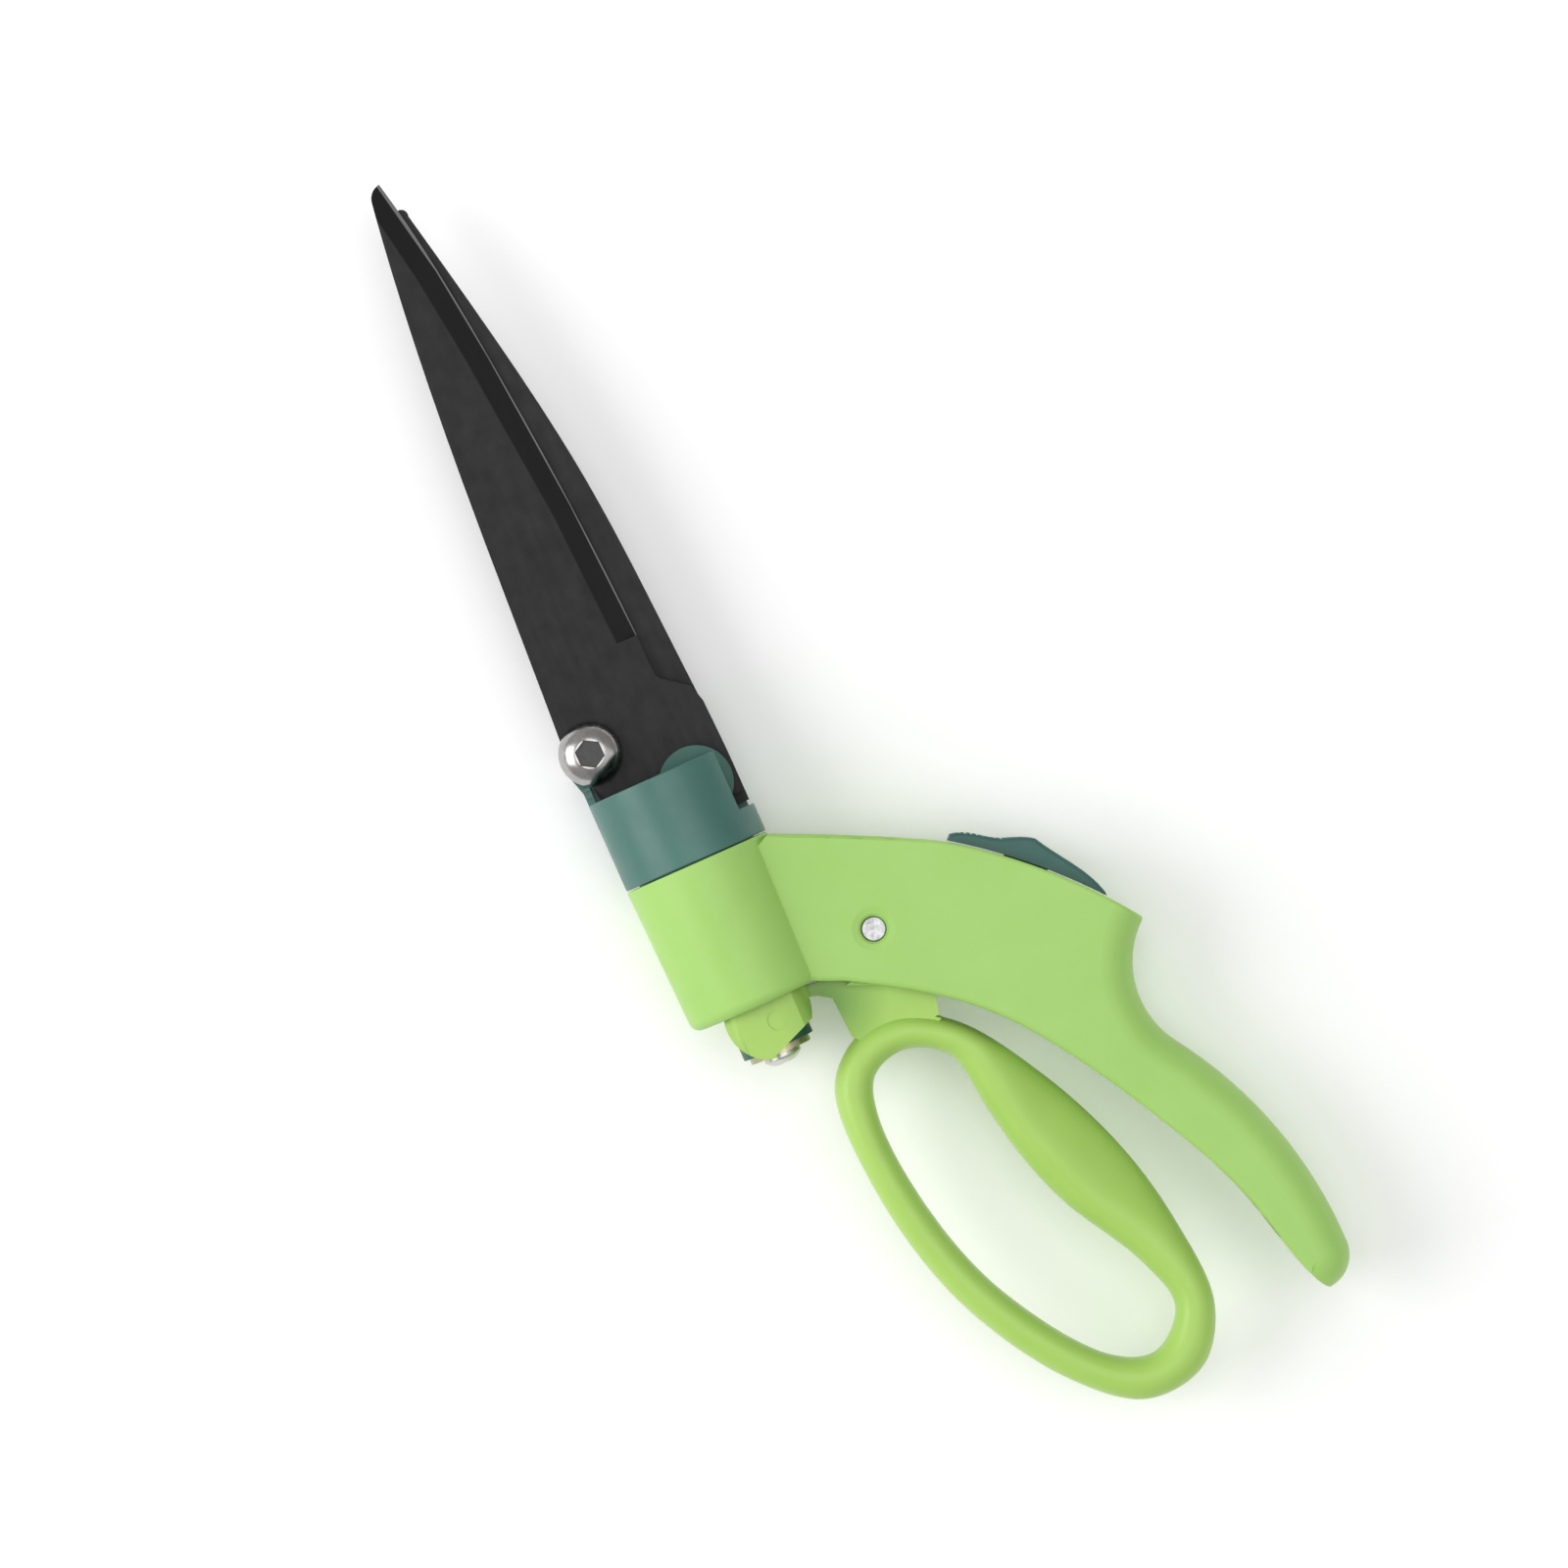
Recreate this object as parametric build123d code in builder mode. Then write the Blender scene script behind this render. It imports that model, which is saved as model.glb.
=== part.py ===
from build123d import *
import os
from math import atan2, cos, degrees, hypot, radians, sin

# Swivel grass shears, in millimetres.
# Design frame: origin at the centre of the barrel's front face, +X along the swivel axis to the blade
# tips, +Y from the handle towards the blade bolt, +Z normal to the blades, towards the bolt's head.
# Rest pose: trigger squeezed, blades shut, lock forward.
# The pieces are written in the row frame, which has its origin under the middle of the shears as they
# lie on their side: ROW_ORIGIN is that point in the design frame.

os.makedirs("parts", exist_ok=True)

# ---------------------------------------------------------------- driving dimensions
ROW_ORIGIN = (7.9, -40.8, -17.5)

# Fits
FIT = 0.05                  # radial clearance of a shaft in its own bore
GAP = 0.3                   # open gap between parts that pass each other

# Barrel and swivel joint
BARREL_R = 17.5
BARREL_TAIL_R = 16.7        # outside radius at the tapered rear end
BARREL_END = -36.1          # rear face
BARREL_CORNER = 2.4         # rounding of the rear face's outer corner
RIM_ROUND = 0.35            # rounding of the front rim and of the collar
FRONT_BORE_R = 14.4
REAR_BORE_R = 15.0
SHOULDER = (-14.2, -17.2)   # web inside the barrel that carries the swivel
SLEEVE_R = FRONT_BORE_R - 2 * FIT
JOURNAL_R = 12.3
SLEEVE_END = -20.5
CLIP_GROOVE = (-18.2, -19.4)
CLIP_GROOVE_R = 11.4

# Handle
HANDLE_HALF = 9.9           # half thickness
HANDLE_FRONT = -3.4         # the handle's body starts here, and slants forward to the roof
NECK_WALL = 4.8             # thickness between the channel and the neck
CHANNEL_HALF = 7.9          # half width of the channel that holds the trigger
ROOF_CENTRE = (-134.0, 26.0)
ROOF_R = 140.0
ROOF_T = 2.8                # thickness of the roof and the grip's back
BROW_ENDS = (-17.8, -34.6)  # polar angles of the flatter front of the roof
BROW_SAGITTA = 0.45
BROW_BLEND = 60.0
SPUR_ANGLE = -58.0          # the roof's arc ends here, past the thumb spur
NECK_CENTRE = (-70.6, -102.0)
NECK_R = 21.6
GRIP_CENTRE = (-138.7, -0.3)
GRIP_R = hypot(GRIP_CENTRE[0] - NECK_CENTRE[0], GRIP_CENTRE[1] - NECK_CENTRE[1]) - NECK_R     # tangent arcs
GRIP_END = -91.0            # polar angle where the grip's back runs into its tip
TIP_R = 8.3
GRIP_ROUND = 7.5            # rounding of the grip's back
CELL_HALF = 6.3             # half width of the hollows in the grip
PIN_X, PIN_Y = -30.7, -30.9
PIN_R = 3.0
PIN_DEPTH = 1.1             # how far the pin's ends stand below the handle's sides
DISH_R = 20.0               # spherical dish round each end of the pin
DISH_DEPTH = 0.65

# Trigger
TRIGGER_SWING = 16.0        # degrees from squeezed to open
STUB_X, STUB_Y = -40.7, -2.4
STUB_R = 2.4
STUB_LENGTH = 4.0
EAR_X, EAR_Y, EAR_R = -38.8, -0.8, 10.1
EAR_Z = (8.9, 11.6)         # inner and outer face of each ear
EAR_ROUND_R = 13.6          # cylinder that the ears are rounded to, so that they pass into the barrel
NOSE_HALF = 7.4
NOSE_TOP = -9.9             # the nose stops here, short of the rod's flanges
WEB_HALF = 4.7
LOOP_HALF = 6.5
LOOP_ROUND = 3.2
HUB_R = 8.0
LOBE_R = 4.0

# Return spring on the trigger's hub
WIRE_R = 0.65
COIL_R = 5.2
COIL_PITCH = 1.4
COIL_TURNS = 3.5
COIL_Z = 1.1                # lower end of the coil

# Rod
ROD_R = 4.5
ROD_STEP = -2.0             # the full round bar ends here, the flat plate starts
FLANGE_R = 8.6
GROOVE_HALF = STUB_R + 0.15
FLANGE_T = 3.4
BOSS_X, BOSS_Y, BOSS_R = 16.4, -7.4, 8.6
PLATE_Z = (2.4, 5.3)        # the rod's front plate, over the moving blade
PLATE_HALF = 4.0
DRIVE_PIN_R = 2.5
WASHER_T = 1.5
ROD_WASHER_R = 7.4

# Blades and bolt
BOLT_X, BOLT_Y = 32.3, 12.2
BLADE_SWING = 26.0          # degrees from shut to open
BLADE_T = 2.0
BLADE_GAP = 0.1             # each blade's distance from the cutting plane Z = 0
EDGE_T = 0.5                # thickness left at the ground edge
BOLT_R = 4.0
BOLT_HEAD_R = 7.4
BOLT_HEAD_H = 4.4
HEX_AF = 6.0
NUT_AF = 13.0

# Head
COLLAR_LENGTH = 6.8         # full ring
WALL_END = 21.5             # end of the front wall
WALL_EDGE_Y = -13.9         # side edge of the front wall
SHELL_BORE_R = 15.2
ARM_TOP = -(BLADE_GAP + BLADE_T)
ARM_BACK = -8.1             # back of the arm under the nut
SCREW_POINTS = ((14.0, 9.0), (14.0, -11.5))
CLICK_STEP = 45.0           # degrees between the swivel's stops

# Lock, by polar angle about ROOF_CENTRE
LOCK_ENDS = (-35.1, -50.9)
LOCK_TRAVEL = 2.0           # degrees, rearwards
LOCK_HALF = 6.6
STEM_ENDS = (-40.6, -44.9)
LOCK_SCREW_ANGLE = -41.9
TOOTH_ANGLE = -44.2
TOOTH_REACH = 9.4           # how far the catch's tooth hangs below the roof's outside
CATCH_TOP = 3.2
STEM_HALF = 2.3

CATCH_HALF = 4.0
LOCK_SCREW_R = 1.5
SERRATION = [(-36.0 - 0.55 * step, 2.9 + 0.13 * step) for step in range(8)]

# Small features
EAR_OF_ARM_R = 7.3          # the arm's round end about the bolt
ARM_SIDE_Y = -16.2          # flat side of the arm, hidden behind the blades
RIB_END = 25.4              # end of the toothed rib beside the bolt
BLADE_TAIL_X = 10.5
FIXED_TAIL_X = 8.0
BLADE_SCREW_R = 1.9
ROD_SCREW_R = 1.95
SCREW_HEAD_H = 2.5
SPRING_LEGS = (19.0, 8.0)
NOTCH_R = 1.8               # notch in the trigger's lobe
INNER_ROUND = 1.2           # rounding of the handle's inner edge
ROOF_ROUND = 0.8
CHANNEL_FRONT_Y = -18.0     # the channel stops short of the barrel's wall
NOSE_SLOT = 15.7            # length of the slot in the barrel, from its rear face
RIB_T = 1.6
RIB_ANGLES = (-63.0, -69.5, -76.0, -82.0)

# Click spring
CLICK_X = -7.0              # middle of its bump
CLICK_HALF = 1.6
CLICK_TOP_Y = -14.05        # top of the bump, in the sleeve's notch
LEAF_T = 0.5
CLICK_SCREW_X = -15.7


# ---------------------------------------------------------------- helpers
def polar(centre, reach, angle):
    """The point at a reach and an angle in degrees from a centre."""
    return (centre[0] + reach * cos(radians(angle)), centre[1] + reach * sin(radians(angle)))


def roof_point(angle, height=0.0):
    """The point over the roof's arc at a polar angle and a height above the roof."""
    return polar(ROOF_CENTRE, ROOF_R + height, angle)


def turned(point, centre, angle):
    """A point turned about a centre by an angle in degrees."""
    start = atan2(point[1] - centre[1], point[0] - centre[0])
    reach = hypot(point[0] - centre[0], point[1] - centre[1])
    return polar(centre, reach, degrees(start) + angle)


def upright_axis(x, y):
    """The axis along Z through a point of the plan."""
    return Axis((x, y, 0), (0, 0, 1))


def rim_cutter(centre, reach, inward, start, span):
    """A cutter that rounds both rims of an arc edge of the handle; inward is 1 where the body fills the arc."""
    direction = polar((0, 0), 1, start)
    plane = Plane(origin=(*centre, 0), x_dir=(*direction, 0), z_dir=(direction[1], -direction[0], 0))
    far, near = reach + inward, reach - inward * GRIP_ROUND
    sagitta = GRIP_ROUND * (1 - cos(radians(45)))
    middle = (reach - inward * sagitta, HANDLE_HALF - sagitta)
    with BuildPart() as cutter:
        with BuildSketch(plane):
            with BuildLine():
                ThreePointArc((reach, HANDLE_HALF - GRIP_ROUND), middle, (near, HANDLE_HALF))
                Polyline(
                    (near, HANDLE_HALF), (near, HANDLE_HALF + 1), (far, HANDLE_HALF + 1),
                    (far, HANDLE_HALF - GRIP_ROUND), (reach, HANDLE_HALF - GRIP_ROUND),
                )
            make_face()
            mirror(about=Plane.XZ)
        revolve(axis=upright_axis(*centre), revolution_arc=span)
    return cutter.part


def finish(builder, name):
    """Label a piece, place it in the row frame and write it."""
    piece = builder.part.moved(Location(tuple(-v for v in ROW_ORIGIN)))
    piece.label = name
    export_step(piece, f"parts/{name}.step")
    return piece


# Travel that the trigger's stubs give the rod, and the drive pin's path in the moving blade
ROD_TRAVEL = turned((STUB_X, STUB_Y), (PIN_X, PIN_Y), -TRIGGER_SWING)[0] - STUB_X


def pin_in_blade(share):
    """Where the drive pin stands in the moving blade at a share of the trigger's swing."""
    return turned((BOSS_X + ROD_TRAVEL * share, BOSS_Y), (BOLT_X, BOLT_Y), -BLADE_SWING * share)


# ---------------------------------------------------------------- handle: barrel and channel in one
neck_to_grip = degrees(atan2(GRIP_CENTRE[1] - NECK_CENTRE[1], GRIP_CENTRE[0] - NECK_CENTRE[0]))
grip_start = polar(NECK_CENTRE, NECK_R, neck_to_grip)
grip_end = polar(GRIP_CENTRE, GRIP_R, GRIP_END)
tip_centre = polar(GRIP_CENTRE, GRIP_R - TIP_R, GRIP_END)
tip_end = polar(tip_centre, TIP_R, -176)
neck_foot = polar(NECK_CENTRE, NECK_R, 0)
inner_end = (-35.6, -12.6)
brow_foot = (-1.0, -17.6)
beyond_roof = (brow_foot[0], -112.0)

with BuildPart() as handle:
    # Side outline: neck, back of the grip, tip and inner edge, running out past the roof
    with BuildSketch():
        with BuildLine():
            ThreePointArc(neck_foot, polar(NECK_CENTRE, NECK_R, 60), grip_start)
            ThreePointArc(grip_start, polar(GRIP_CENTRE, GRIP_R, -74), grip_end)
            ThreePointArc(grip_end, polar(tip_centre, TIP_R, -135), tip_end)
            Spline(
                tip_end, (-141.5, -89.6), (-123.4, -84.8), (-99.5, -74.4), (-72.5, -58.6), (-50.0, -37.5),
                (-39.0, -20.2), inner_end, tangents=((0.8, 0.9), (0.4, 0.9)),
            )
            Polyline(
                inner_end, (HANDLE_FRONT, inner_end[1]), brow_foot, beyond_roof, (neck_foot[0], beyond_roof[1]),
                neck_foot,
            )
        make_face()
    extrude(amount=HANDLE_HALF, both=True)
    # Rims of the neck, the grip's back and the tip rounded off
    add(rim_cutter(NECK_CENTRE, NECK_R, -1, -10, neck_to_grip + 10), mode=Mode.SUBTRACT)
    add(rim_cutter(GRIP_CENTRE, GRIP_R, 1, GRIP_END, neck_to_grip - 180 - GRIP_END), mode=Mode.SUBTRACT)
    add(rim_cutter(tip_centre, TIP_R, 1, -221, GRIP_END + 221), mode=Mode.SUBTRACT)
    # The roof trims it, leaving the thumb spur: an arc whose front part runs flatter
    with BuildSketch(Plane.XY.offset(-HANDLE_HALF)):
        with BuildLine():
            brow_front, brow_rear, spur = (roof_point(angle) for angle in (*BROW_ENDS, SPUR_ANGLE))
            brow_angle = sum(BROW_ENDS) / 2
            chord_drop = ROOF_R * (1 - cos(radians(BROW_ENDS[0] - brow_angle)))
            ThreePointArc(brow_front, roof_point(brow_angle, BROW_SAGITTA - chord_drop), brow_rear)
            ThreePointArc(brow_rear, roof_point(-46), spur)
            Polyline(spur, (spur[0], -130), (-170, -130), (-170, 40), (brow_front[0], 40), brow_front)
        make_face()
        fillet(vertices().sort_by_distance(brow_rear)[0], BROW_BLEND)
    extrude(amount=2 * HANDLE_HALF, mode=Mode.INTERSECT)
    sides = handle.edges().filter_by(lambda e: abs(e.center().Z) > HANDLE_HALF - 0.01)
    fillet(sides.filter_by(GeomType.BSPLINE), INNER_ROUND)
    sides = handle.edges().filter_by(lambda e: abs(e.center().Z) > HANDLE_HALF - 0.01)
    fillet(
        sides.filter_by(
            lambda e: hypot(e.center().X - ROOF_CENTRE[0], e.center().Y - ROOF_CENTRE[1]) > ROOF_R - 2
        ).filter_by(GeomType.CIRCLE),
        ROOF_ROUND,
    )
    # Barrel, tapering slightly to a rounded rear corner
    with BuildSketch():
        with BuildLine():
            Polyline((-GAP, 0), (-GAP, BARREL_R), (BARREL_END, BARREL_TAIL_R), (BARREL_END, 0), close=True)
        make_face()
        fillet(vertices().group_by(Axis.X)[0].sort_by(Axis.Y)[-1], BARREL_CORNER)
        fillet(vertices().group_by(Axis.X)[-1].sort_by(Axis.Y)[-1], RIM_ROUND)
    revolve(axis=Axis.X)
    # Stepped bore: sleeve, shoulder, room for the trigger's fork
    with BuildSketch():
        with BuildLine():
            Polyline(
                (1, 0), (1, FRONT_BORE_R), (SHOULDER[0], FRONT_BORE_R), (SHOULDER[0], JOURNAL_R + 2 * FIT),
                (SHOULDER[1], JOURNAL_R + 2 * FIT), (SHOULDER[1], REAR_BORE_R),
                (BARREL_END - 1, REAR_BORE_R), (BARREL_END - 1, 0), close=True,
            )
        make_face()
    revolve(axis=Axis.X, mode=Mode.SUBTRACT)
    # Channel under the roof, open along the inner edge
    with BuildSketch(Plane.XY.offset(-CHANNEL_HALF)):
        with BuildLine():
            front = roof_point(-20.6, -ROOF_T)
            rear = roof_point(-52.6, -ROOF_T)
            ThreePointArc(front, roof_point(-36, -ROOF_T), rear)
            Polyline(
                rear, polar(NECK_CENTRE, NECK_R + NECK_WALL, 52), polar(NECK_CENTRE, NECK_R + NECK_WALL, 80),
                (-63.0, -48.0), (-50.0, -31.0), (BARREL_END - 1, -10.0), (BARREL_END - 1, CHANNEL_FRONT_Y),
                (front[0] - 1.5, CHANNEL_FRONT_Y), front,
            )
        make_face()
    extrude(amount=2 * CHANNEL_HALF, mode=Mode.SUBTRACT)
    # Slot from the channel into the barrel, for the trigger's nose
    with BuildSketch(Plane.XY.offset(-CHANNEL_HALF)):
        with Locations((BARREL_END - 1, -19.0)):
            Rectangle(NOSE_SLOT + 1, 10.0, align=(Align.MIN, Align.MIN))
    extrude(amount=2 * CHANNEL_HALF, mode=Mode.SUBTRACT)
    # Hollows in the grip, with cross ribs between them
    with BuildSketch(Plane.XY.offset(-CELL_HALF)):
        with BuildLine():
            cell_a = polar(GRIP_CENTRE, GRIP_R - ROOF_T, -57.5)
            cell_b = polar(GRIP_CENTRE, GRIP_R - ROOF_T, -87.5)
            ThreePointArc(cell_a, polar(GRIP_CENTRE, GRIP_R - ROOF_T, -72), cell_b)
            Polyline(cell_b, (-133.0, -84.0), (-99.0, -69.0), (-69.0, -50.0), (-71.0, -78.0), cell_a)
        make_face()
        for rib_angle in RIB_ANGLES:
            with Locations(Location((*polar(GRIP_CENTRE, GRIP_R - 20, rib_angle), 0), (0, 0, rib_angle))):
                Rectangle(60, RIB_T, mode=Mode.SUBTRACT)
    extrude(amount=2 * CELL_HALF, mode=Mode.SUBTRACT)
    # Cross pin hole, with a shallow dish on each side
    with Locations((PIN_X, PIN_Y, 0)):
        Cylinder(PIN_R, 2 * HANDLE_HALF, mode=Mode.SUBTRACT)
        for side in (-1, 1):
            with Locations((0, 0, side * HANDLE_HALF)):
                Cylinder(PIN_R + 0.45, 2 * PIN_DEPTH, mode=Mode.SUBTRACT)
            with Locations((0, 0, side * (HANDLE_HALF + DISH_R - DISH_DEPTH))):
                Sphere(DISH_R, mode=Mode.SUBTRACT)
    # Window for the click spring's bump, and its screw hole
    with Locations((CLICK_X, CHANNEL_FRONT_Y + 2.6, 0)):
        Box(11.0, 7.8, 2 * CLICK_HALF + 0.8, mode=Mode.SUBTRACT)
    with Locations(Location((CLICK_SCREW_X, CHANNEL_FRONT_Y, 0), (90, 0, 0))):
        Cylinder(1.25, 10.8, mode=Mode.SUBTRACT)
    # Slot in the roof for the lock's stem
    with BuildSketch(Plane.XY.offset(-STEM_HALF - GAP)):
        slot_from, slot_to = STEM_ENDS[0] + 0.4, STEM_ENDS[1] - LOCK_TRAVEL - 0.4
        Polygon(
            roof_point(slot_from, 1), roof_point(slot_from, -ROOF_T - 1), roof_point(slot_to, -ROOF_T - 1),
            roof_point(slot_to, 1), align=None,
        )
    extrude(amount=2 * (STEM_HALF + GAP), mode=Mode.SUBTRACT)

# ---------------------------------------------------------------- cross pin
with BuildPart() as pivot_pin:
    with Locations((PIN_X, PIN_Y, 0)):
        Cylinder(PIN_R, 2 * (HANDLE_HALF - PIN_DEPTH + 0.1))
    chamfer(pivot_pin.edges().filter_by(GeomType.CIRCLE), 0.4)

# ---------------------------------------------------------------- click spring and its screw
with BuildPart() as click_spring:
    with BuildSketch(Plane.XY.offset(-CLICK_HALF)):
        strip_y = CHANNEL_FRONT_Y - LEAF_T / 2 - 0.05
        with BuildLine():
            FilletPolyline(
                (CLICK_SCREW_X - 2.6, strip_y), (CLICK_X - 3.4, strip_y), (CLICK_X - 0.9, CLICK_TOP_Y),
                (CLICK_X + 0.9, CLICK_TOP_Y), (CLICK_X + 3.4, strip_y), (CLICK_X + 4.6, strip_y), radius=0.8,
            )
        trace(line_width=LEAF_T)
    extrude(amount=2 * CLICK_HALF)
    with Locations(Location((CLICK_SCREW_X, strip_y, 0), (90, 0, 0))):
        Cylinder(1.35, 2, mode=Mode.SUBTRACT)

with BuildPart() as click_screw:
    seat_y = CHANNEL_FRONT_Y - LEAF_T - 0.1
    with BuildSketch():
        with BuildLine():
            Polyline(
                (CLICK_SCREW_X, seat_y - 1.7), (CLICK_SCREW_X + 1.6, seat_y - 1.7),
                (CLICK_SCREW_X + 2.5, seat_y - 1.0), (CLICK_SCREW_X + 2.5, seat_y), (CLICK_SCREW_X + 1.25, seat_y),
                (CLICK_SCREW_X + 1.25, seat_y + 4.2), (CLICK_SCREW_X, seat_y + 5.2), close=True,
            )
        make_face()
    revolve(axis=Axis((CLICK_SCREW_X, 0, 0), (0, 1, 0)))

# ---------------------------------------------------------------- swivel head
with BuildPart() as head_arm:
    # Arm behind the blades: its plan, cut to the barrel's round and to a plate under the bolt
    with BuildSketch(Plane.XY.offset(-BARREL_R)):
        with BuildLine():
            ear_top = polar((BOLT_X, BOLT_Y), EAR_OF_ARM_R, 110)
            ear_side = polar((BOLT_X, BOLT_Y), EAR_OF_ARM_R, -32)
            ThreePointArc(ear_top, polar((BOLT_X, BOLT_Y), EAR_OF_ARM_R, 40), ear_side)
            Polyline(
                ear_side, (27.5, -11.5), (21.0, ARM_SIDE_Y), (5.0, ARM_SIDE_Y), (5.0, 17.3), (24.5, 17.5), ear_top,
            )
        make_face()
    extrude(amount=BARREL_R + ARM_TOP)
    with BuildSketch(Plane.YZ):
        Circle(BARREL_R)
        with Locations((0, ARM_BACK)):
            Rectangle(44, -ARM_BACK, align=(Align.CENTER, Align.MIN))
    extrude(amount=50, mode=Mode.INTERSECT)
    # Back sloping up to the plate
    with BuildSketch(Plane.XZ):
        with BuildLine():
            Polyline((17.0, -19.0), (17.0, -BARREL_R), (30.0, ARM_BACK), (50.0, ARM_BACK), (50.0, -19.0), close=True)
        make_face()
    extrude(amount=25, both=True, mode=Mode.SUBTRACT)
    # Round seat for the nut and its washer
    with Locations((BOLT_X, BOLT_Y, ARM_BACK)):
        Cylinder(EAR_OF_ARM_R + 1.2, 20, align=(Align.CENTER, Align.CENTER, Align.MAX), mode=Mode.SUBTRACT)

with BuildPart() as swivel_head:
    # Collar and front wall as one tube, hollow over the arm
    with BuildSketch(Plane.YZ):
        Circle(BARREL_R)
    extrude(amount=WALL_END)
    fillet(swivel_head.edges().filter_by(GeomType.CIRCLE), RIM_ROUND)
    with BuildSketch(Plane.YZ.offset(COLLAR_LENGTH)):
        Circle(SHELL_BORE_R)
        with Locations((0, ARM_TOP)):
            Rectangle(40, 20, align=(Align.CENTER, Align.MAX), mode=Mode.SUBTRACT)
    extrude(amount=WALL_END, mode=Mode.SUBTRACT)
    # Open side, where the moving blade's tail swings out
    with Locations((COLLAR_LENGTH, WALL_EDGE_Y, ARM_TOP)):
        Box(20, 10, 30, align=(Align.MIN, Align.MAX, Align.MIN), mode=Mode.SUBTRACT)
    with Locations((COLLAR_LENGTH, ARM_SIDE_Y, 0)):
        Box(20, 10, 40, align=(Align.MIN, Align.MAX, Align.CENTER), mode=Mode.SUBTRACT)
    add(head_arm.part)
    # Sleeve and journal in the barrel
    with BuildSketch():
        with BuildLine():
            Polyline(
                (1, 0), (1, SLEEVE_R), (SHOULDER[0] + 0.2, SLEEVE_R), (SHOULDER[0] + 0.2, JOURNAL_R),
                (CLIP_GROOVE[0], JOURNAL_R), (CLIP_GROOVE[0], CLIP_GROOVE_R), (CLIP_GROOVE[1], CLIP_GROOVE_R),
                (CLIP_GROOVE[1], JOURNAL_R), (SLEEVE_END, JOURNAL_R), (SLEEVE_END, 0), close=True,
            )
        make_face()
    revolve(axis=Axis.X)
    # Bore for the rod, and room for its flat plate
    with BuildSketch(Plane.YZ.offset(SLEEVE_END)):
        Circle(ROD_R + 2 * FIT)
    extrude(amount=COLLAR_LENGTH - SLEEVE_END, mode=Mode.SUBTRACT)
    with Locations((ROD_STEP - GAP, 0, PLATE_Z[0] - GAP)):
        Box(
            COLLAR_LENGTH - ROD_STEP + GAP + 1, 2 * (PLATE_HALF + GAP), PLATE_Z[1] - PLATE_Z[0] + 2 * GAP,
            align=(Align.MIN, Align.CENTER, Align.MIN), mode=Mode.SUBTRACT,
        )
    # Notches for the click spring
    with BuildSketch(Plane.YZ.offset(CLICK_X - 3.2)):
        with PolarLocations(SLEEVE_R + 1.0, 5, start_angle=90, angular_range=4 * CLICK_STEP, endpoint=True):
            Circle(2.4)
    extrude(amount=6.4, mode=Mode.SUBTRACT)
    # Toothed rib beside the bolt
    with Locations((WALL_END - 1, BARREL_R - 0.1, ARM_TOP - 1)):
        Box(RIB_END - WALL_END + 1, 1.8, 4.6, align=(Align.MIN, Align.MAX, Align.MIN))
    with Locations(*[(WALL_END + step, BARREL_R, 1.6) for step in (1.2, 2.9)]):
        Box(0.8, 5, 1.6, mode=Mode.SUBTRACT)
    # Bolt hole and screw holes
    with Locations((BOLT_X, BOLT_Y, 0)):
        Cylinder(BOLT_R + FIT, 3 * BARREL_R, mode=Mode.SUBTRACT)
    with Locations(*[(x, y, ARM_TOP + 1) for x, y in SCREW_POINTS]):
        Cylinder(BLADE_SCREW_R, 11, align=(Align.CENTER, Align.CENTER, Align.MAX), mode=Mode.SUBTRACT)

with BuildPart() as thrust_washer:
    with BuildSketch(Plane.YZ.offset(SHOULDER[1] - 0.9)):
        Circle(REAR_BORE_R - 0.5)
        Circle(JOURNAL_R + FIT, mode=Mode.SUBTRACT)
    extrude(amount=0.85)

with BuildPart() as circlip:
    # Ring with an opening between two eyelets
    with BuildSketch(Plane.YZ.offset(CLIP_GROOVE[1] + 0.05)):
        Circle(REAR_BORE_R - 1.4)
        with PolarLocations(CLIP_GROOVE_R + 1.7, 2, start_angle=70, angular_range=40, endpoint=True):
            Circle(1.7)
        Circle(CLIP_GROOVE_R + FIT, mode=Mode.SUBTRACT)
        with Locations((0, CLIP_GROOVE_R)):
            Rectangle(5.4, 8, mode=Mode.SUBTRACT)
        with PolarLocations(CLIP_GROOVE_R + 1.6, 2, start_angle=70, angular_range=40, endpoint=True):
            Circle(0.7, mode=Mode.SUBTRACT)
    extrude(amount=CLIP_GROOVE[0] - CLIP_GROOVE[1] - 0.15)

# ---------------------------------------------------------------- blades


def ground_bevel(stations, inner_face, outer_face):
    """A cutter for the ground bevel: a wedge section at each (x, inner y, edge y) station."""
    sections = []
    for x, y_in, y_edge in stations:
        slope = (outer_face - inner_face) / (y_in - y_edge)
        over = 1.5 if y_edge < y_in else -1.5
        low = (y_edge - over, inner_face - slope * over)
        high = (y_in + over / 3, outer_face + slope * over / 3)
        with BuildSketch(Plane.YZ.offset(x)) as section:
            Polygon(low, high, (low[0], high[1]), align=None)
        sections.append(section.sketch)
    return loft(sections, ruled=True, mode=Mode.PRIVATE)


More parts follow.
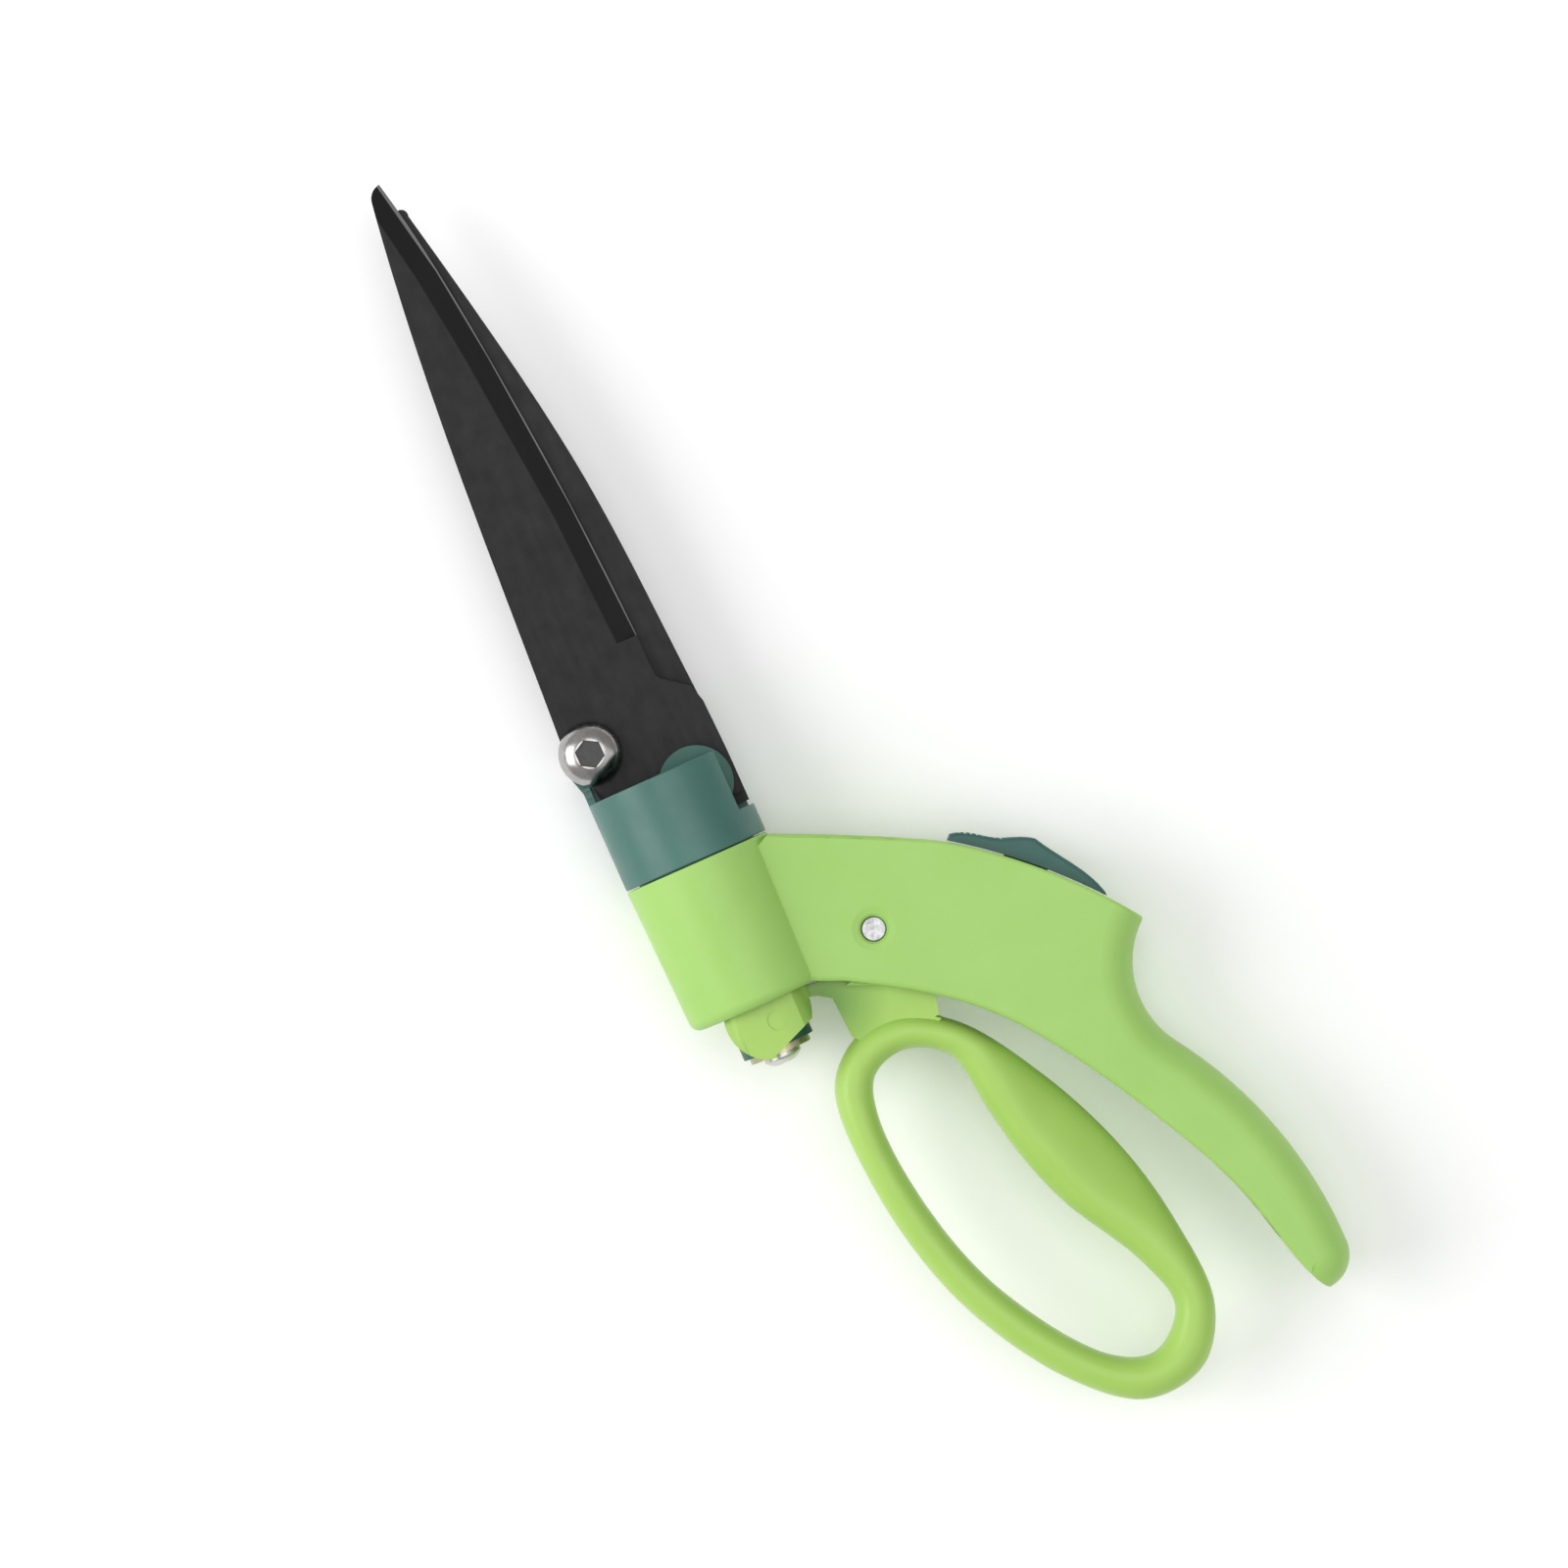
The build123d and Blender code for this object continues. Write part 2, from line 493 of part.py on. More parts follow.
moving_top = BLADE_GAP + BLADE_T
with BuildPart() as moving_blade:
    with BuildSketch(Plane.XY.offset(BLADE_GAP)):
        with BuildLine():
            spine = Spline((33.0, 17.7), (59.9, 16.1), (102.0, 13.6), (143.5, 9.9), (168.5, 6.6))
            TangentArc(spine @ 1, (171.8, 3.4), tangent=spine % 1)
            edge = Spline((171.8, 3.4), (157.9, 0.7), (125.2, -3.5), (86.6, -6.9), (52.5, -8.6))
            Polyline(
                edge @ 1, (43.1, -8.8), (41.9, -9.3), (37.2, -15.4), (33.0, -16.5), (20.5, -16.9),
                (BLADE_TAIL_X, -16.3), (BLADE_TAIL_X, 12.0), (21.5, 13.1), (25.2, 14.9), (28.4, 17.2), spine @ 0,
            )
        make_face()
    extrude(amount=BLADE_T)
    # Bevel ground along the cutting edge, running out over the whole tip
    add(
        ground_bevel(
            ((53.0, -3.7, -8.6), (86.6, -2.2, -6.9), (125.2, 1.4, -3.5), (148.0, 4.2, -0.7), (173.0, 8.6, 4.2)),
            BLADE_GAP + EDGE_T, moving_top,
        ),
        mode=Mode.SUBTRACT,
    )
    # Bolt hole, and the curved slot that the rod's pin drives
    with Locations((BOLT_X, BOLT_Y, 0)):
        Cylinder(BOLT_R + FIT, 10, mode=Mode.SUBTRACT)
    with BuildSketch():
        with BuildLine():
            ThreePointArc(pin_in_blade(-0.06), pin_in_blade(0.5), pin_in_blade(1.06))
        trace(line_width=2 * (DRIVE_PIN_R + 0.1))
        with Locations(pin_in_blade(-0.06), pin_in_blade(1.06)):
            Circle(DRIVE_PIN_R + 0.1)
    extrude(amount=10, mode=Mode.SUBTRACT)

with BuildPart() as fixed_blade:
    with BuildSketch(Plane.XY.offset(ARM_TOP)):
        with BuildLine():
            back = Spline((20.0, -16.9), (52.2, -15.1), (90.3, -12.5), (130.1, -6.3), (162.5, 0.2))
            ThreePointArc(back @ 1, (164.6, 1.6), (163.6, 3.2))
            keen = Spline((163.6, 3.2), (143.0, 6.4), (106.0, 8.4), (68.0, 9.2), (50.0, 9.4))
            Polyline(
                keen @ 1, (43.5, 9.8), (41.0, 14.0), (37.0, 16.6), (33.0, 17.6), (29.0, 17.2), (26.0, 14.9),
                (21.5, 14.4), (FIXED_TAIL_X, 14.4), (FIXED_TAIL_X, -16.9), back @ 0,
            )
        make_face()
    extrude(amount=BLADE_T)
    add(
        ground_bevel(
            ((51.0, 4.4, 9.4), (68.0, 4.2, 9.2), (106.0, 3.4, 8.4), (143.0, 1.6, 6.4), (168.0, -2.0, 2.4)),
            -BLADE_GAP - EDGE_T, ARM_TOP,
        ),
        mode=Mode.SUBTRACT,
    )
    with Locations((BOLT_X, BOLT_Y, 0)):
        Cylinder(BOLT_R + FIT, 10, mode=Mode.SUBTRACT)
    with Locations(*[(x, y, -BLADE_GAP) for x, y in SCREW_POINTS]):
        CounterSinkHole(BLADE_SCREW_R, BLADE_SCREW_R + BLADE_T - 0.1, depth=6, counter_sink_angle=90)

with BuildPart() as blade_screws:
    for x, y in SCREW_POINTS:
        with BuildSketch(Plane.XZ.offset(-y)):
            with BuildLine():
                top = -BLADE_GAP - 0.12
                Polyline(
                    (x, top), (x + BLADE_SCREW_R + 1.6, top), (x + BLADE_SCREW_R, top - 1.6),
                    (x + BLADE_SCREW_R, top - 9), (x, top - 10), close=True,
                )
            make_face()
        revolve(axis=upright_axis(x, y))
        with Locations((x, y, top)):
            Box(3.4, 0.9, 1.6, mode=Mode.SUBTRACT)
            Box(0.9, 3.4, 1.6, mode=Mode.SUBTRACT)

# ---------------------------------------------------------------- pivot bolt, its washers and lock nut
bolt_seat = moving_top + 0.6
bolt_plane = Plane(origin=(BOLT_X, BOLT_Y, 0), x_dir=(1, 0, 0), z_dir=(0, -1, 0))
nut_face = ARM_BACK - 1.6
nut_back = nut_face - 5.5

with BuildPart() as pivot_bolt:
    # Button head: flat crown, round shoulder, shank with a chamfered end
    with BuildSketch(bolt_plane):
        with BuildLine():
            Line((0, bolt_seat + BOLT_HEAD_H), (3.4, bolt_seat + BOLT_HEAD_H))
            ThreePointArc(
                (3.4, bolt_seat + BOLT_HEAD_H), (6.1, bolt_seat + 0.66 * BOLT_HEAD_H),
                (BOLT_HEAD_R, bolt_seat + 0.5),
            )
            Polyline(
                (BOLT_HEAD_R, bolt_seat + 0.5), (BOLT_HEAD_R, bolt_seat), (BOLT_R, bolt_seat),
                (BOLT_R, -BARREL_R + 1.1), (BOLT_R - 0.7, -BARREL_R + 0.4), (0, -BARREL_R + 0.4),
                (0, bolt_seat + BOLT_HEAD_H),
            )
        make_face()
    revolve(axis=upright_axis(BOLT_X, BOLT_Y))
    with BuildSketch(Plane.XY.offset(bolt_seat + BOLT_HEAD_H)):
        with Locations((BOLT_X, BOLT_Y)):
            RegularPolygon(HEX_AF / 2, 6, major_radius=False)
    extrude(amount=-2.8, mode=Mode.SUBTRACT)

with BuildPart() as bolt_washer:
    with BuildSketch(Plane.XY.offset(moving_top + 0.1)):
        with Locations((BOLT_X, BOLT_Y)):
            Circle(BOLT_HEAD_R - 0.8)
            Circle(BOLT_R + FIT, mode=Mode.SUBTRACT)
    extrude(amount=0.5)

with BuildPart() as nut_washer:
    with BuildSketch(Plane.XY.offset(nut_face)):
        with Locations((BOLT_X, BOLT_Y)):
            Circle(EAR_OF_ARM_R)
            Circle(BOLT_R + FIT, mode=Mode.SUBTRACT)
    extrude(amount=ARM_BACK - nut_face)

with BuildPart() as pivot_nut:
    with BuildSketch(Plane.XY.offset(nut_back)):
        with Locations((BOLT_X, BOLT_Y)):
            RegularPolygon(NUT_AF / 2, 6, major_radius=False)
    extrude(amount=nut_face - nut_back)
    with BuildSketch(Plane.XY.offset(nut_back)):
        with Locations((BOLT_X, BOLT_Y)):
            Circle(NUT_AF / 2 - 0.4)
    extrude(amount=-2.0)
    with Locations((BOLT_X, BOLT_Y, 0)):
        Cylinder(BOLT_R + FIT, 3 * BARREL_R, mode=Mode.SUBTRACT)
    with BuildSketch(Plane.XY.offset(nut_back)):
        with Locations((BOLT_X, BOLT_Y)):
            Circle(NUT_AF / 2 - 1.2)
    extrude(amount=-1.6, mode=Mode.SUBTRACT)

with BuildPart() as nut_insert:
    with BuildSketch(Plane.XY.offset(nut_back - 1.5)):
        with Locations((BOLT_X, BOLT_Y)):
            Circle(NUT_AF / 2 - 1.2 - FIT)
            Circle(BOLT_R + FIT, mode=Mode.SUBTRACT)
    extrude(amount=1.45)

# ---------------------------------------------------------------- drive rod
groove_rear, groove_front = STUB_X - GROOVE_HALF, STUB_X + GROOVE_HALF
rod_end = groove_rear - FLANGE_T
with BuildPart() as drive_rod:
    with BuildSketch():
        with BuildLine():
            Polyline(
                (rod_end, 0), (rod_end, FLANGE_R), (groove_rear, FLANGE_R), (groove_rear, ROD_R),
                (groove_front, ROD_R), (groove_front, FLANGE_R), (groove_front + FLANGE_T, FLANGE_R),
                (groove_front + FLANGE_T + 2, ROD_R), (ROD_STEP, ROD_R), (ROD_STEP, 0), close=True,
            )
        make_face()
    revolve(axis=Axis.X)
    # Upper part of the bar runs on as a plate to the round boss over the moving blade
    with BuildSketch(Plane.YZ.offset(ROD_STEP - 1)):
        Circle(ROD_R)
        with Locations((0, PLATE_Z[0])):
            Rectangle(20, 20, align=(Align.CENTER, Align.MAX), mode=Mode.SUBTRACT)
    extrude(amount=BOSS_X - ROD_STEP)
    with BuildSketch(Plane.XY.offset(PLATE_Z[0])):
        with Locations(((ROD_STEP + BOSS_X) / 2, 0)):
            Rectangle(BOSS_X - ROD_STEP, 2 * PLATE_HALF)
        with Locations((BOSS_X, BOSS_Y)):
            Circle(BOSS_R)
    extrude(amount=PLATE_Z[1] - PLATE_Z[0])
    with Locations((BOSS_X, BOSS_Y, 0)):
        Cylinder(DRIVE_PIN_R, 20, mode=Mode.SUBTRACT)
    with BuildSketch(Plane.YZ.offset(rod_end)):
        Circle(ROD_SCREW_R)
    extrude(amount=13, mode=Mode.SUBTRACT)

with BuildPart() as drive_pin:
    with Locations((BOSS_X, BOSS_Y, BLADE_GAP + 0.1)):
        Cylinder(DRIVE_PIN_R, PLATE_Z[1] - BLADE_GAP - 0.2, align=(Align.CENTER, Align.CENTER, Align.MIN))
    chamfer(drive_pin.edges().filter_by(GeomType.CIRCLE), 0.3)

with BuildPart() as rod_washer:
    with BuildSketch(Plane.YZ.offset(rod_end - WASHER_T)):
        Circle(ROD_WASHER_R)
        Circle(ROD_SCREW_R + 0.2, mode=Mode.SUBTRACT)
    extrude(amount=WASHER_T)

with BuildPart() as rod_screw:
    # Pan head against the washer, with a cross recess
    seat = rod_end - WASHER_T
    with BuildSketch():
        with BuildLine():
            Polyline((seat, ROD_SCREW_R), (seat, 4.5), (seat - 1.0, 4.5))
            ThreePointArc((seat - 1.0, 4.5), (seat - 2.0, 3.4), (seat - SCREW_HEAD_H, 0))
            Polyline(
                (seat - SCREW_HEAD_H, 0), (rod_end + 12, 0), (rod_end + 11, ROD_SCREW_R), (seat, ROD_SCREW_R),
            )
        make_face()
    revolve(axis=Axis.X)
    with Locations((seat - SCREW_HEAD_H, 0, 0)):
        Box(3.0, 1.0, 4.4, mode=Mode.SUBTRACT)
        Box(3.0, 4.4, 1.0, mode=Mode.SUBTRACT)

# ---------------------------------------------------------------- return spring on the trigger's hub
coil_height = COIL_PITCH * COIL_TURNS
with BuildPart() as return_spring:
    with BuildLine() as coil_path:
        Helix(COIL_PITCH, coil_height, COIL_R, center=(PIN_X, PIN_Y, COIL_Z), lefthand=True)
    coil = coil_path.line
    with BuildSketch(Plane(origin=coil @ 0, z_dir=coil % 0)):
        Circle(WIRE_R)
    sweep(path=coil, is_frenet=True)
    # Straight legs: one against the barrel, one in the trigger
    with BuildSketch(Plane(origin=coil @ 1, z_dir=coil % 1)):
        Circle(WIRE_R)
    extrude(amount=SPRING_LEGS[0])
    with BuildSketch(Plane(origin=coil @ 0, z_dir=-(coil % 0))):
        Circle(WIRE_R)
    extrude(amount=SPRING_LEGS[1])

# ---------------------------------------------------------------- trigger
with BuildPart() as finger_loop:
    with BuildSketch(Plane.XY.offset(-LOOP_HALF)):
        with BuildLine():
            Spline(
                (-60.6, -7.9), (-52.2, -16.6), (-51.0, -27.3), (-58.0, -39.8), (-77.2, -52.9), (-100.0, -62.7),
                (-121.0, -67.2), (-141.5, -67.6), (-153.6, -59.3), (-155.3, -44.6), (-143.6, -29.8),
                (-116.9, -13.9), (-85.4, -6.7), periodic=True,
            )
        make_face()
        with BuildLine():
            Spline(
                (-61.8, -17.6), (-59.2, -26.0), (-64.5, -35.2), (-79.5, -38.0), (-92.5, -40.7), (-106.0, -45.4),
                (-126.5, -56.4), (-138.4, -59.0), (-146.0, -50.8), (-142.6, -41.0), (-119.0, -24.1),
                (-95.0, -16.3), (-71.0, -14.4), periodic=True,
            )
        make_face(mode=Mode.SUBTRACT)
    extrude(amount=2 * LOOP_HALF)
    fillet(finger_loop.edges().filter_by(lambda e: abs(e.center().Z) > LOOP_HALF - 0.01), LOOP_ROUND)

# The lobe points from the pin to the catch's tooth and stops short of it
tooth_tip = roof_point(TOOTH_ANGLE, -TOOTH_REACH)
lobe_angle = degrees(atan2(tooth_tip[1] - PIN_Y, tooth_tip[0] - PIN_X))
lobe_reach = hypot(tooth_tip[0] - PIN_X, tooth_tip[1] - PIN_Y) - 0.5 - LOBE_R
lobe_end = polar((PIN_X, PIN_Y), lobe_reach, lobe_angle)

with BuildPart() as trigger:
    # Ears: plan of the fork, rounded to pass into the barrel, hollow between for the rod's flanges
    with BuildSketch(Plane.XY.offset(-EAR_Z[1])):
        with Locations((EAR_X, EAR_Y)):
            Circle(EAR_R)
        Polygon(
            (-48.0, 1.2), (-43.2, -10.6), (-43.2, -14.0), (-53.0, -14.0), (-53.0, 1.2), align=None,
            mode=Mode.SUBTRACT,
        )
        Polygon((-31.0, NOSE_TOP), (-31.0, -14.5), (-38.9, -14.5), (-41.0, NOSE_TOP), align=None)
        Polygon((-33.4, 12.0), (-31.0, -14.5), (-20.0, -14.5), (-20.0, 12.0), align=None, mode=Mode.SUBTRACT)
    extrude(amount=2 * EAR_Z[1])
    with BuildSketch(Plane.YZ.offset(-60)):
        with Locations((-0.5, 0)):
            Circle(EAR_ROUND_R)
    extrude(amount=40, mode=Mode.INTERSECT)
    with Locations((STUB_X, NOSE_TOP, 0)):
        Box(30, 30, 2 * EAR_Z[0], align=(Align.CENTER, Align.MIN, Align.CENTER), mode=Mode.SUBTRACT)
    # Room behind the nose for the rear flange when the trigger swings open
    with Locations((-38.8, -16.0, 0)):
        Box(20, 20, 2 * EAR_Z[0], align=(Align.MAX, Align.MIN, Align.CENTER), mode=Mode.SUBTRACT)
    # Stubs that sit in the rod's groove
    for side in (-1, 1):
        with Locations((STUB_X, STUB_Y, side * (EAR_Z[0] + 0.5))):
            Cylinder(
                STUB_R, STUB_LENGTH + 0.5, align=(Align.CENTER, Align.CENTER, Align.MAX if side > 0 else Align.MIN),
            )
        with Locations((STUB_X, STUB_Y, side * EAR_Z[1])):
            Cylinder(STUB_R, 0.4, mode=Mode.SUBTRACT)
    # Nose and hub in the handle's channel
    with BuildSketch(Plane.XY.offset(-NOSE_HALF)):
        Polygon(
            (-30.0, NOSE_TOP), (-38.6, NOSE_TOP), (-39.5, -12.7), (-38.6, -16.5), (-45.5, -33.0), (-41.0, -38.5),
            (-30.7, -38.9), (-22.8, -31.5), align=None,
        )
        with Locations((PIN_X, PIN_Y)):
            Circle(HUB_R)
    extrude(amount=2 * NOSE_HALF)
    # Web to the finger loop, and the lobe that the lock holds
    with BuildSketch(Plane.XY.offset(-WEB_HALF)):
        Polygon(
            (-39.4, -12.7), (-41.5, -15.8), (-53.3, -16.4), (-56.5, -24.0), (-54.8, -36.6), (-50.0, -38.0),
            (-40.0, -39.0), (-34.0, -20.0), align=None,
        )
        lobe_side = lobe_angle + 90
        Polygon(
            polar((PIN_X, PIN_Y), HUB_R, lobe_side), polar(lobe_end, LOBE_R, lobe_side),
            polar(lobe_end, LOBE_R, lobe_side - 180), polar((PIN_X, PIN_Y), HUB_R, lobe_side - 180), align=None,
        )
        with Locations(lobe_end):
            Circle(LOBE_R)
        with Locations(polar(lobe_end, LOBE_R, lobe_angle)):
            Circle(NOTCH_R, mode=Mode.SUBTRACT)
    extrude(amount=2 * WEB_HALF)
    add(finger_loop.part)
    # Pin bore, the return spring's pocket round its boss, and room for both legs
    with Locations((PIN_X, PIN_Y, 0)):
        Cylinder(PIN_R + FIT, 4 * NOSE_HALF, mode=Mode.SUBTRACT)
    with BuildSketch(Plane.XY.offset(COIL_Z - WIRE_R - 0.8)):
        with Locations((PIN_X, PIN_Y)):
            Circle(COIL_R + WIRE_R + 0.45)
            Circle(COIL_R - WIRE_R - 0.2, mode=Mode.SUBTRACT)
        leg_x = PIN_X + COIL_R
        Polygon((leg_x - 0.9, PIN_Y), (leg_x + 0.9, PIN_Y), (leg_x + 0.9, -20.5), (leg_x - 0.9, -20.5), align=None)
    extrude(amount=NOSE_HALF, mode=Mode.SUBTRACT)
    with BuildSketch(Plane.XY.offset(COIL_Z + coil_height - WIRE_R - 0.3)):
        leg_x = PIN_X - COIL_R
        Polygon(
            (leg_x + 1.0, PIN_Y), (leg_x + 1.0, -11.2), (leg_x - 6.5, -11.2), (leg_x - 1.0, PIN_Y), align=None,
        )
    extrude(amount=NOSE_HALF, mode=Mode.SUBTRACT)

# ---------------------------------------------------------------- lock: slider, catch and screw
with BuildPart() as lock_slider:
    with BuildSketch(Plane.XY.offset(-LOCK_HALF)):
        with BuildLine():
            base_front, base_rear = roof_point(LOCK_ENDS[0], GAP), roof_point(LOCK_ENDS[1], GAP)
            ThreePointArc(base_rear, roof_point(-43, GAP), base_front)
            nose = Polyline(base_front, roof_point(-35.2, 1.9))
            ramp = Spline(
                nose @ 1, roof_point(-36.9, 3.1), roof_point(-39.4, 3.5), roof_point(-41.7, 5.4),
                roof_point(-42.8, 6.0),
            )
            Spline(ramp @ 1, roof_point(-45.4, 4.3), roof_point(-48.4, 2.8), roof_point(-50.6, 0.9))
            Line(roof_point(-50.6, 0.9), base_rear)
        make_face()
    extrude(amount=2 * LOCK_HALF)
    tops = lock_slider.edges().filter_by(lambda e: abs(e.center().Z) > LOCK_HALF - 0.01)
    fillet(tops.filter_by(GeomType.BSPLINE), 1.0)
    # Thumb grooves along the top
    for angle, height in SERRATION:
        with Locations((*roof_point(angle, height), 0)):
            Cylinder(0.4, 3 * LOCK_HALF, mode=Mode.SUBTRACT)
    # Stem through the roof's slot
    with BuildSketch(Plane.XY.offset(-STEM_HALF)):
        Polygon(
            roof_point(STEM_ENDS[0], 1.5), roof_point(STEM_ENDS[0], -CATCH_TOP),
            roof_point(STEM_ENDS[1], -CATCH_TOP), roof_point(STEM_ENDS[1], 1.5), align=None,
        )
    extrude(amount=2 * STEM_HALF)
    screw_plane = Plane(
        origin=(*roof_point(LOCK_SCREW_ANGLE, -CATCH_TOP), 0), x_dir=(0, 0, 1),
        z_dir=(cos(radians(LOCK_SCREW_ANGLE)), sin(radians(LOCK_SCREW_ANGLE)), 0),
    )
    with BuildSketch(screw_plane.offset(-1)):
        Circle(LOCK_SCREW_R + FIT)
    extrude(amount=7, mode=Mode.SUBTRACT)

with BuildPart() as lock_catch:
    with BuildSketch(Plane.XY.offset(-CATCH_HALF)):
        Polygon(
            roof_point(-40.2, -CATCH_TOP), roof_point(-40.2, -CATCH_TOP - 1.6),
            roof_point(TOOTH_ANGLE + 0.6, -CATCH_TOP - 1.6), roof_point(TOOTH_ANGLE + 0.3, -TOOTH_REACH),
            roof_point(TOOTH_ANGLE - 0.3, -TOOTH_REACH), roof_point(TOOTH_ANGLE - 0.6, -CATCH_TOP - 1.6),
            roof_point(-45.4, -CATCH_TOP - 1.6), roof_point(-45.4, -CATCH_TOP), align=None,
        )
    extrude(amount=2 * CATCH_HALF)
    with BuildSketch(screw_plane.offset(-4)):
        Circle(LOCK_SCREW_R + FIT)
    extrude(amount=6, mode=Mode.SUBTRACT)

with BuildPart() as lock_screw:
    with BuildSketch(screw_plane.offset(-1.8)):
        Circle(LOCK_SCREW_R)
    extrude(amount=6.6)
    with BuildSketch(screw_plane.offset(-1.8)):
        Circle(2.6)
    extrude(amount=-1.6)
    chamfer(lock_screw.edges().filter_by(GeomType.CIRCLE).filter_by(lambda e: e.radius > 2).sort_by(
        lambda e: screw_plane.to_local_coords(e.center()).Z)[0], 0.5)

# ---------------------------------------------------------------- write the pieces
pieces = {
    "handle": handle, "pivot_pin": pivot_pin, "click_spring": click_spring, "click_screw": click_screw,
    "swivel_head": swivel_head, "thrust_washer": thrust_washer, "circlip": circlip,
    "fixed_blade": fixed_blade, "blade_screws": blade_screws, "moving_blade": moving_blade,
    "pivot_bolt": pivot_bolt, "bolt_washer": bolt_washer, "nut_washer": nut_washer, "pivot_nut": pivot_nut,
    "nut_insert": nut_insert, "drive_rod": drive_rod, "drive_pin": drive_pin, "rod_washer": rod_washer,
    "rod_screw": rod_screw, "return_spring": return_spring, "trigger": trigger,
    "lock_slider": lock_slider, "lock_catch": lock_catch, "lock_screw": lock_screw,
}
whole = Compound(children=[finish(builder, name) for name, builder in pieces.items()]).bounding_box()
print("row box", whole.min, whole.max)
print("rod travel", round(ROD_TRAVEL, 3))
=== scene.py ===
import math

import bmesh
import bpy
from mathutils import Matrix, Vector


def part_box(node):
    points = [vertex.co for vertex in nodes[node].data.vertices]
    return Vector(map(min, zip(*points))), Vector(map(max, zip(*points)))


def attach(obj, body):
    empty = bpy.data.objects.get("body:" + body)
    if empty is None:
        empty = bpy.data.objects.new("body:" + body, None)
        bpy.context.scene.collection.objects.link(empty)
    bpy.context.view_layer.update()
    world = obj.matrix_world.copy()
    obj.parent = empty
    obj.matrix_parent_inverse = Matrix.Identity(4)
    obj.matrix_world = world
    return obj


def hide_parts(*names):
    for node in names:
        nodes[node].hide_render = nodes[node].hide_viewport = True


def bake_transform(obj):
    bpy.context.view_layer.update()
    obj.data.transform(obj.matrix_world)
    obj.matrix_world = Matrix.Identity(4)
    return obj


# Looks of the grass shears. Lengths in part drawings are millimetres in the design frame of the part:
# origin at the middle of the barrel's front face, +X to the blade tips, +Z towards the bolt's head.
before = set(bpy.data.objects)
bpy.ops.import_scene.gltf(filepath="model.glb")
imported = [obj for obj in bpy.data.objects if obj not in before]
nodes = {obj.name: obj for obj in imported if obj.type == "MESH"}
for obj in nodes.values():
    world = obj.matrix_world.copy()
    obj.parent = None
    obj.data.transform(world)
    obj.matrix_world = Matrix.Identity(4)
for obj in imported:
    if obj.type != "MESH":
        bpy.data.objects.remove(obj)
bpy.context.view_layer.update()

MM = 0.001
EDGE_T = 0.5                # thickness left at the blades' ground edge
WEB_HALF = 4.7              # half thickness of the web that carries the finger loop
LOOP_HALF = 6.5             # half thickness of the finger loop
BOLT_X, BOLT_Y = 32.3, 12.2
SOCKET_R = 3.5              # reach of the corners of the bolt's hexagon socket
PIN = (-30.7, -30.9)        # the trigger's cross pin
WEB_CORNER = (-42.5, -14.5)     # the corner of the trigger's web between barrel and handle

# The design frame's origin in the row frame, found from the pin
pin_low, pin_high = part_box("pivot_pin")
ORIGIN = (pin_low + pin_high) / 2 - Vector((PIN[0], PIN[1], 0)) * MM


def place(x, y, z=0.0):
    """A point of the design frame, in millimetres, as a point of the row frame in metres."""
    return ORIGIN + Vector((x, y, z)) * MM


def srgb(r, g, b):
    """A display colour of 0 to 255 as linear RGBA."""
    def channel(v):
        v /= 255
        return v / 12.92 if v < 0.04045 else ((v + 0.055) / 1.055) ** 2.4
    return (channel(r), channel(g), channel(b), 1.0)


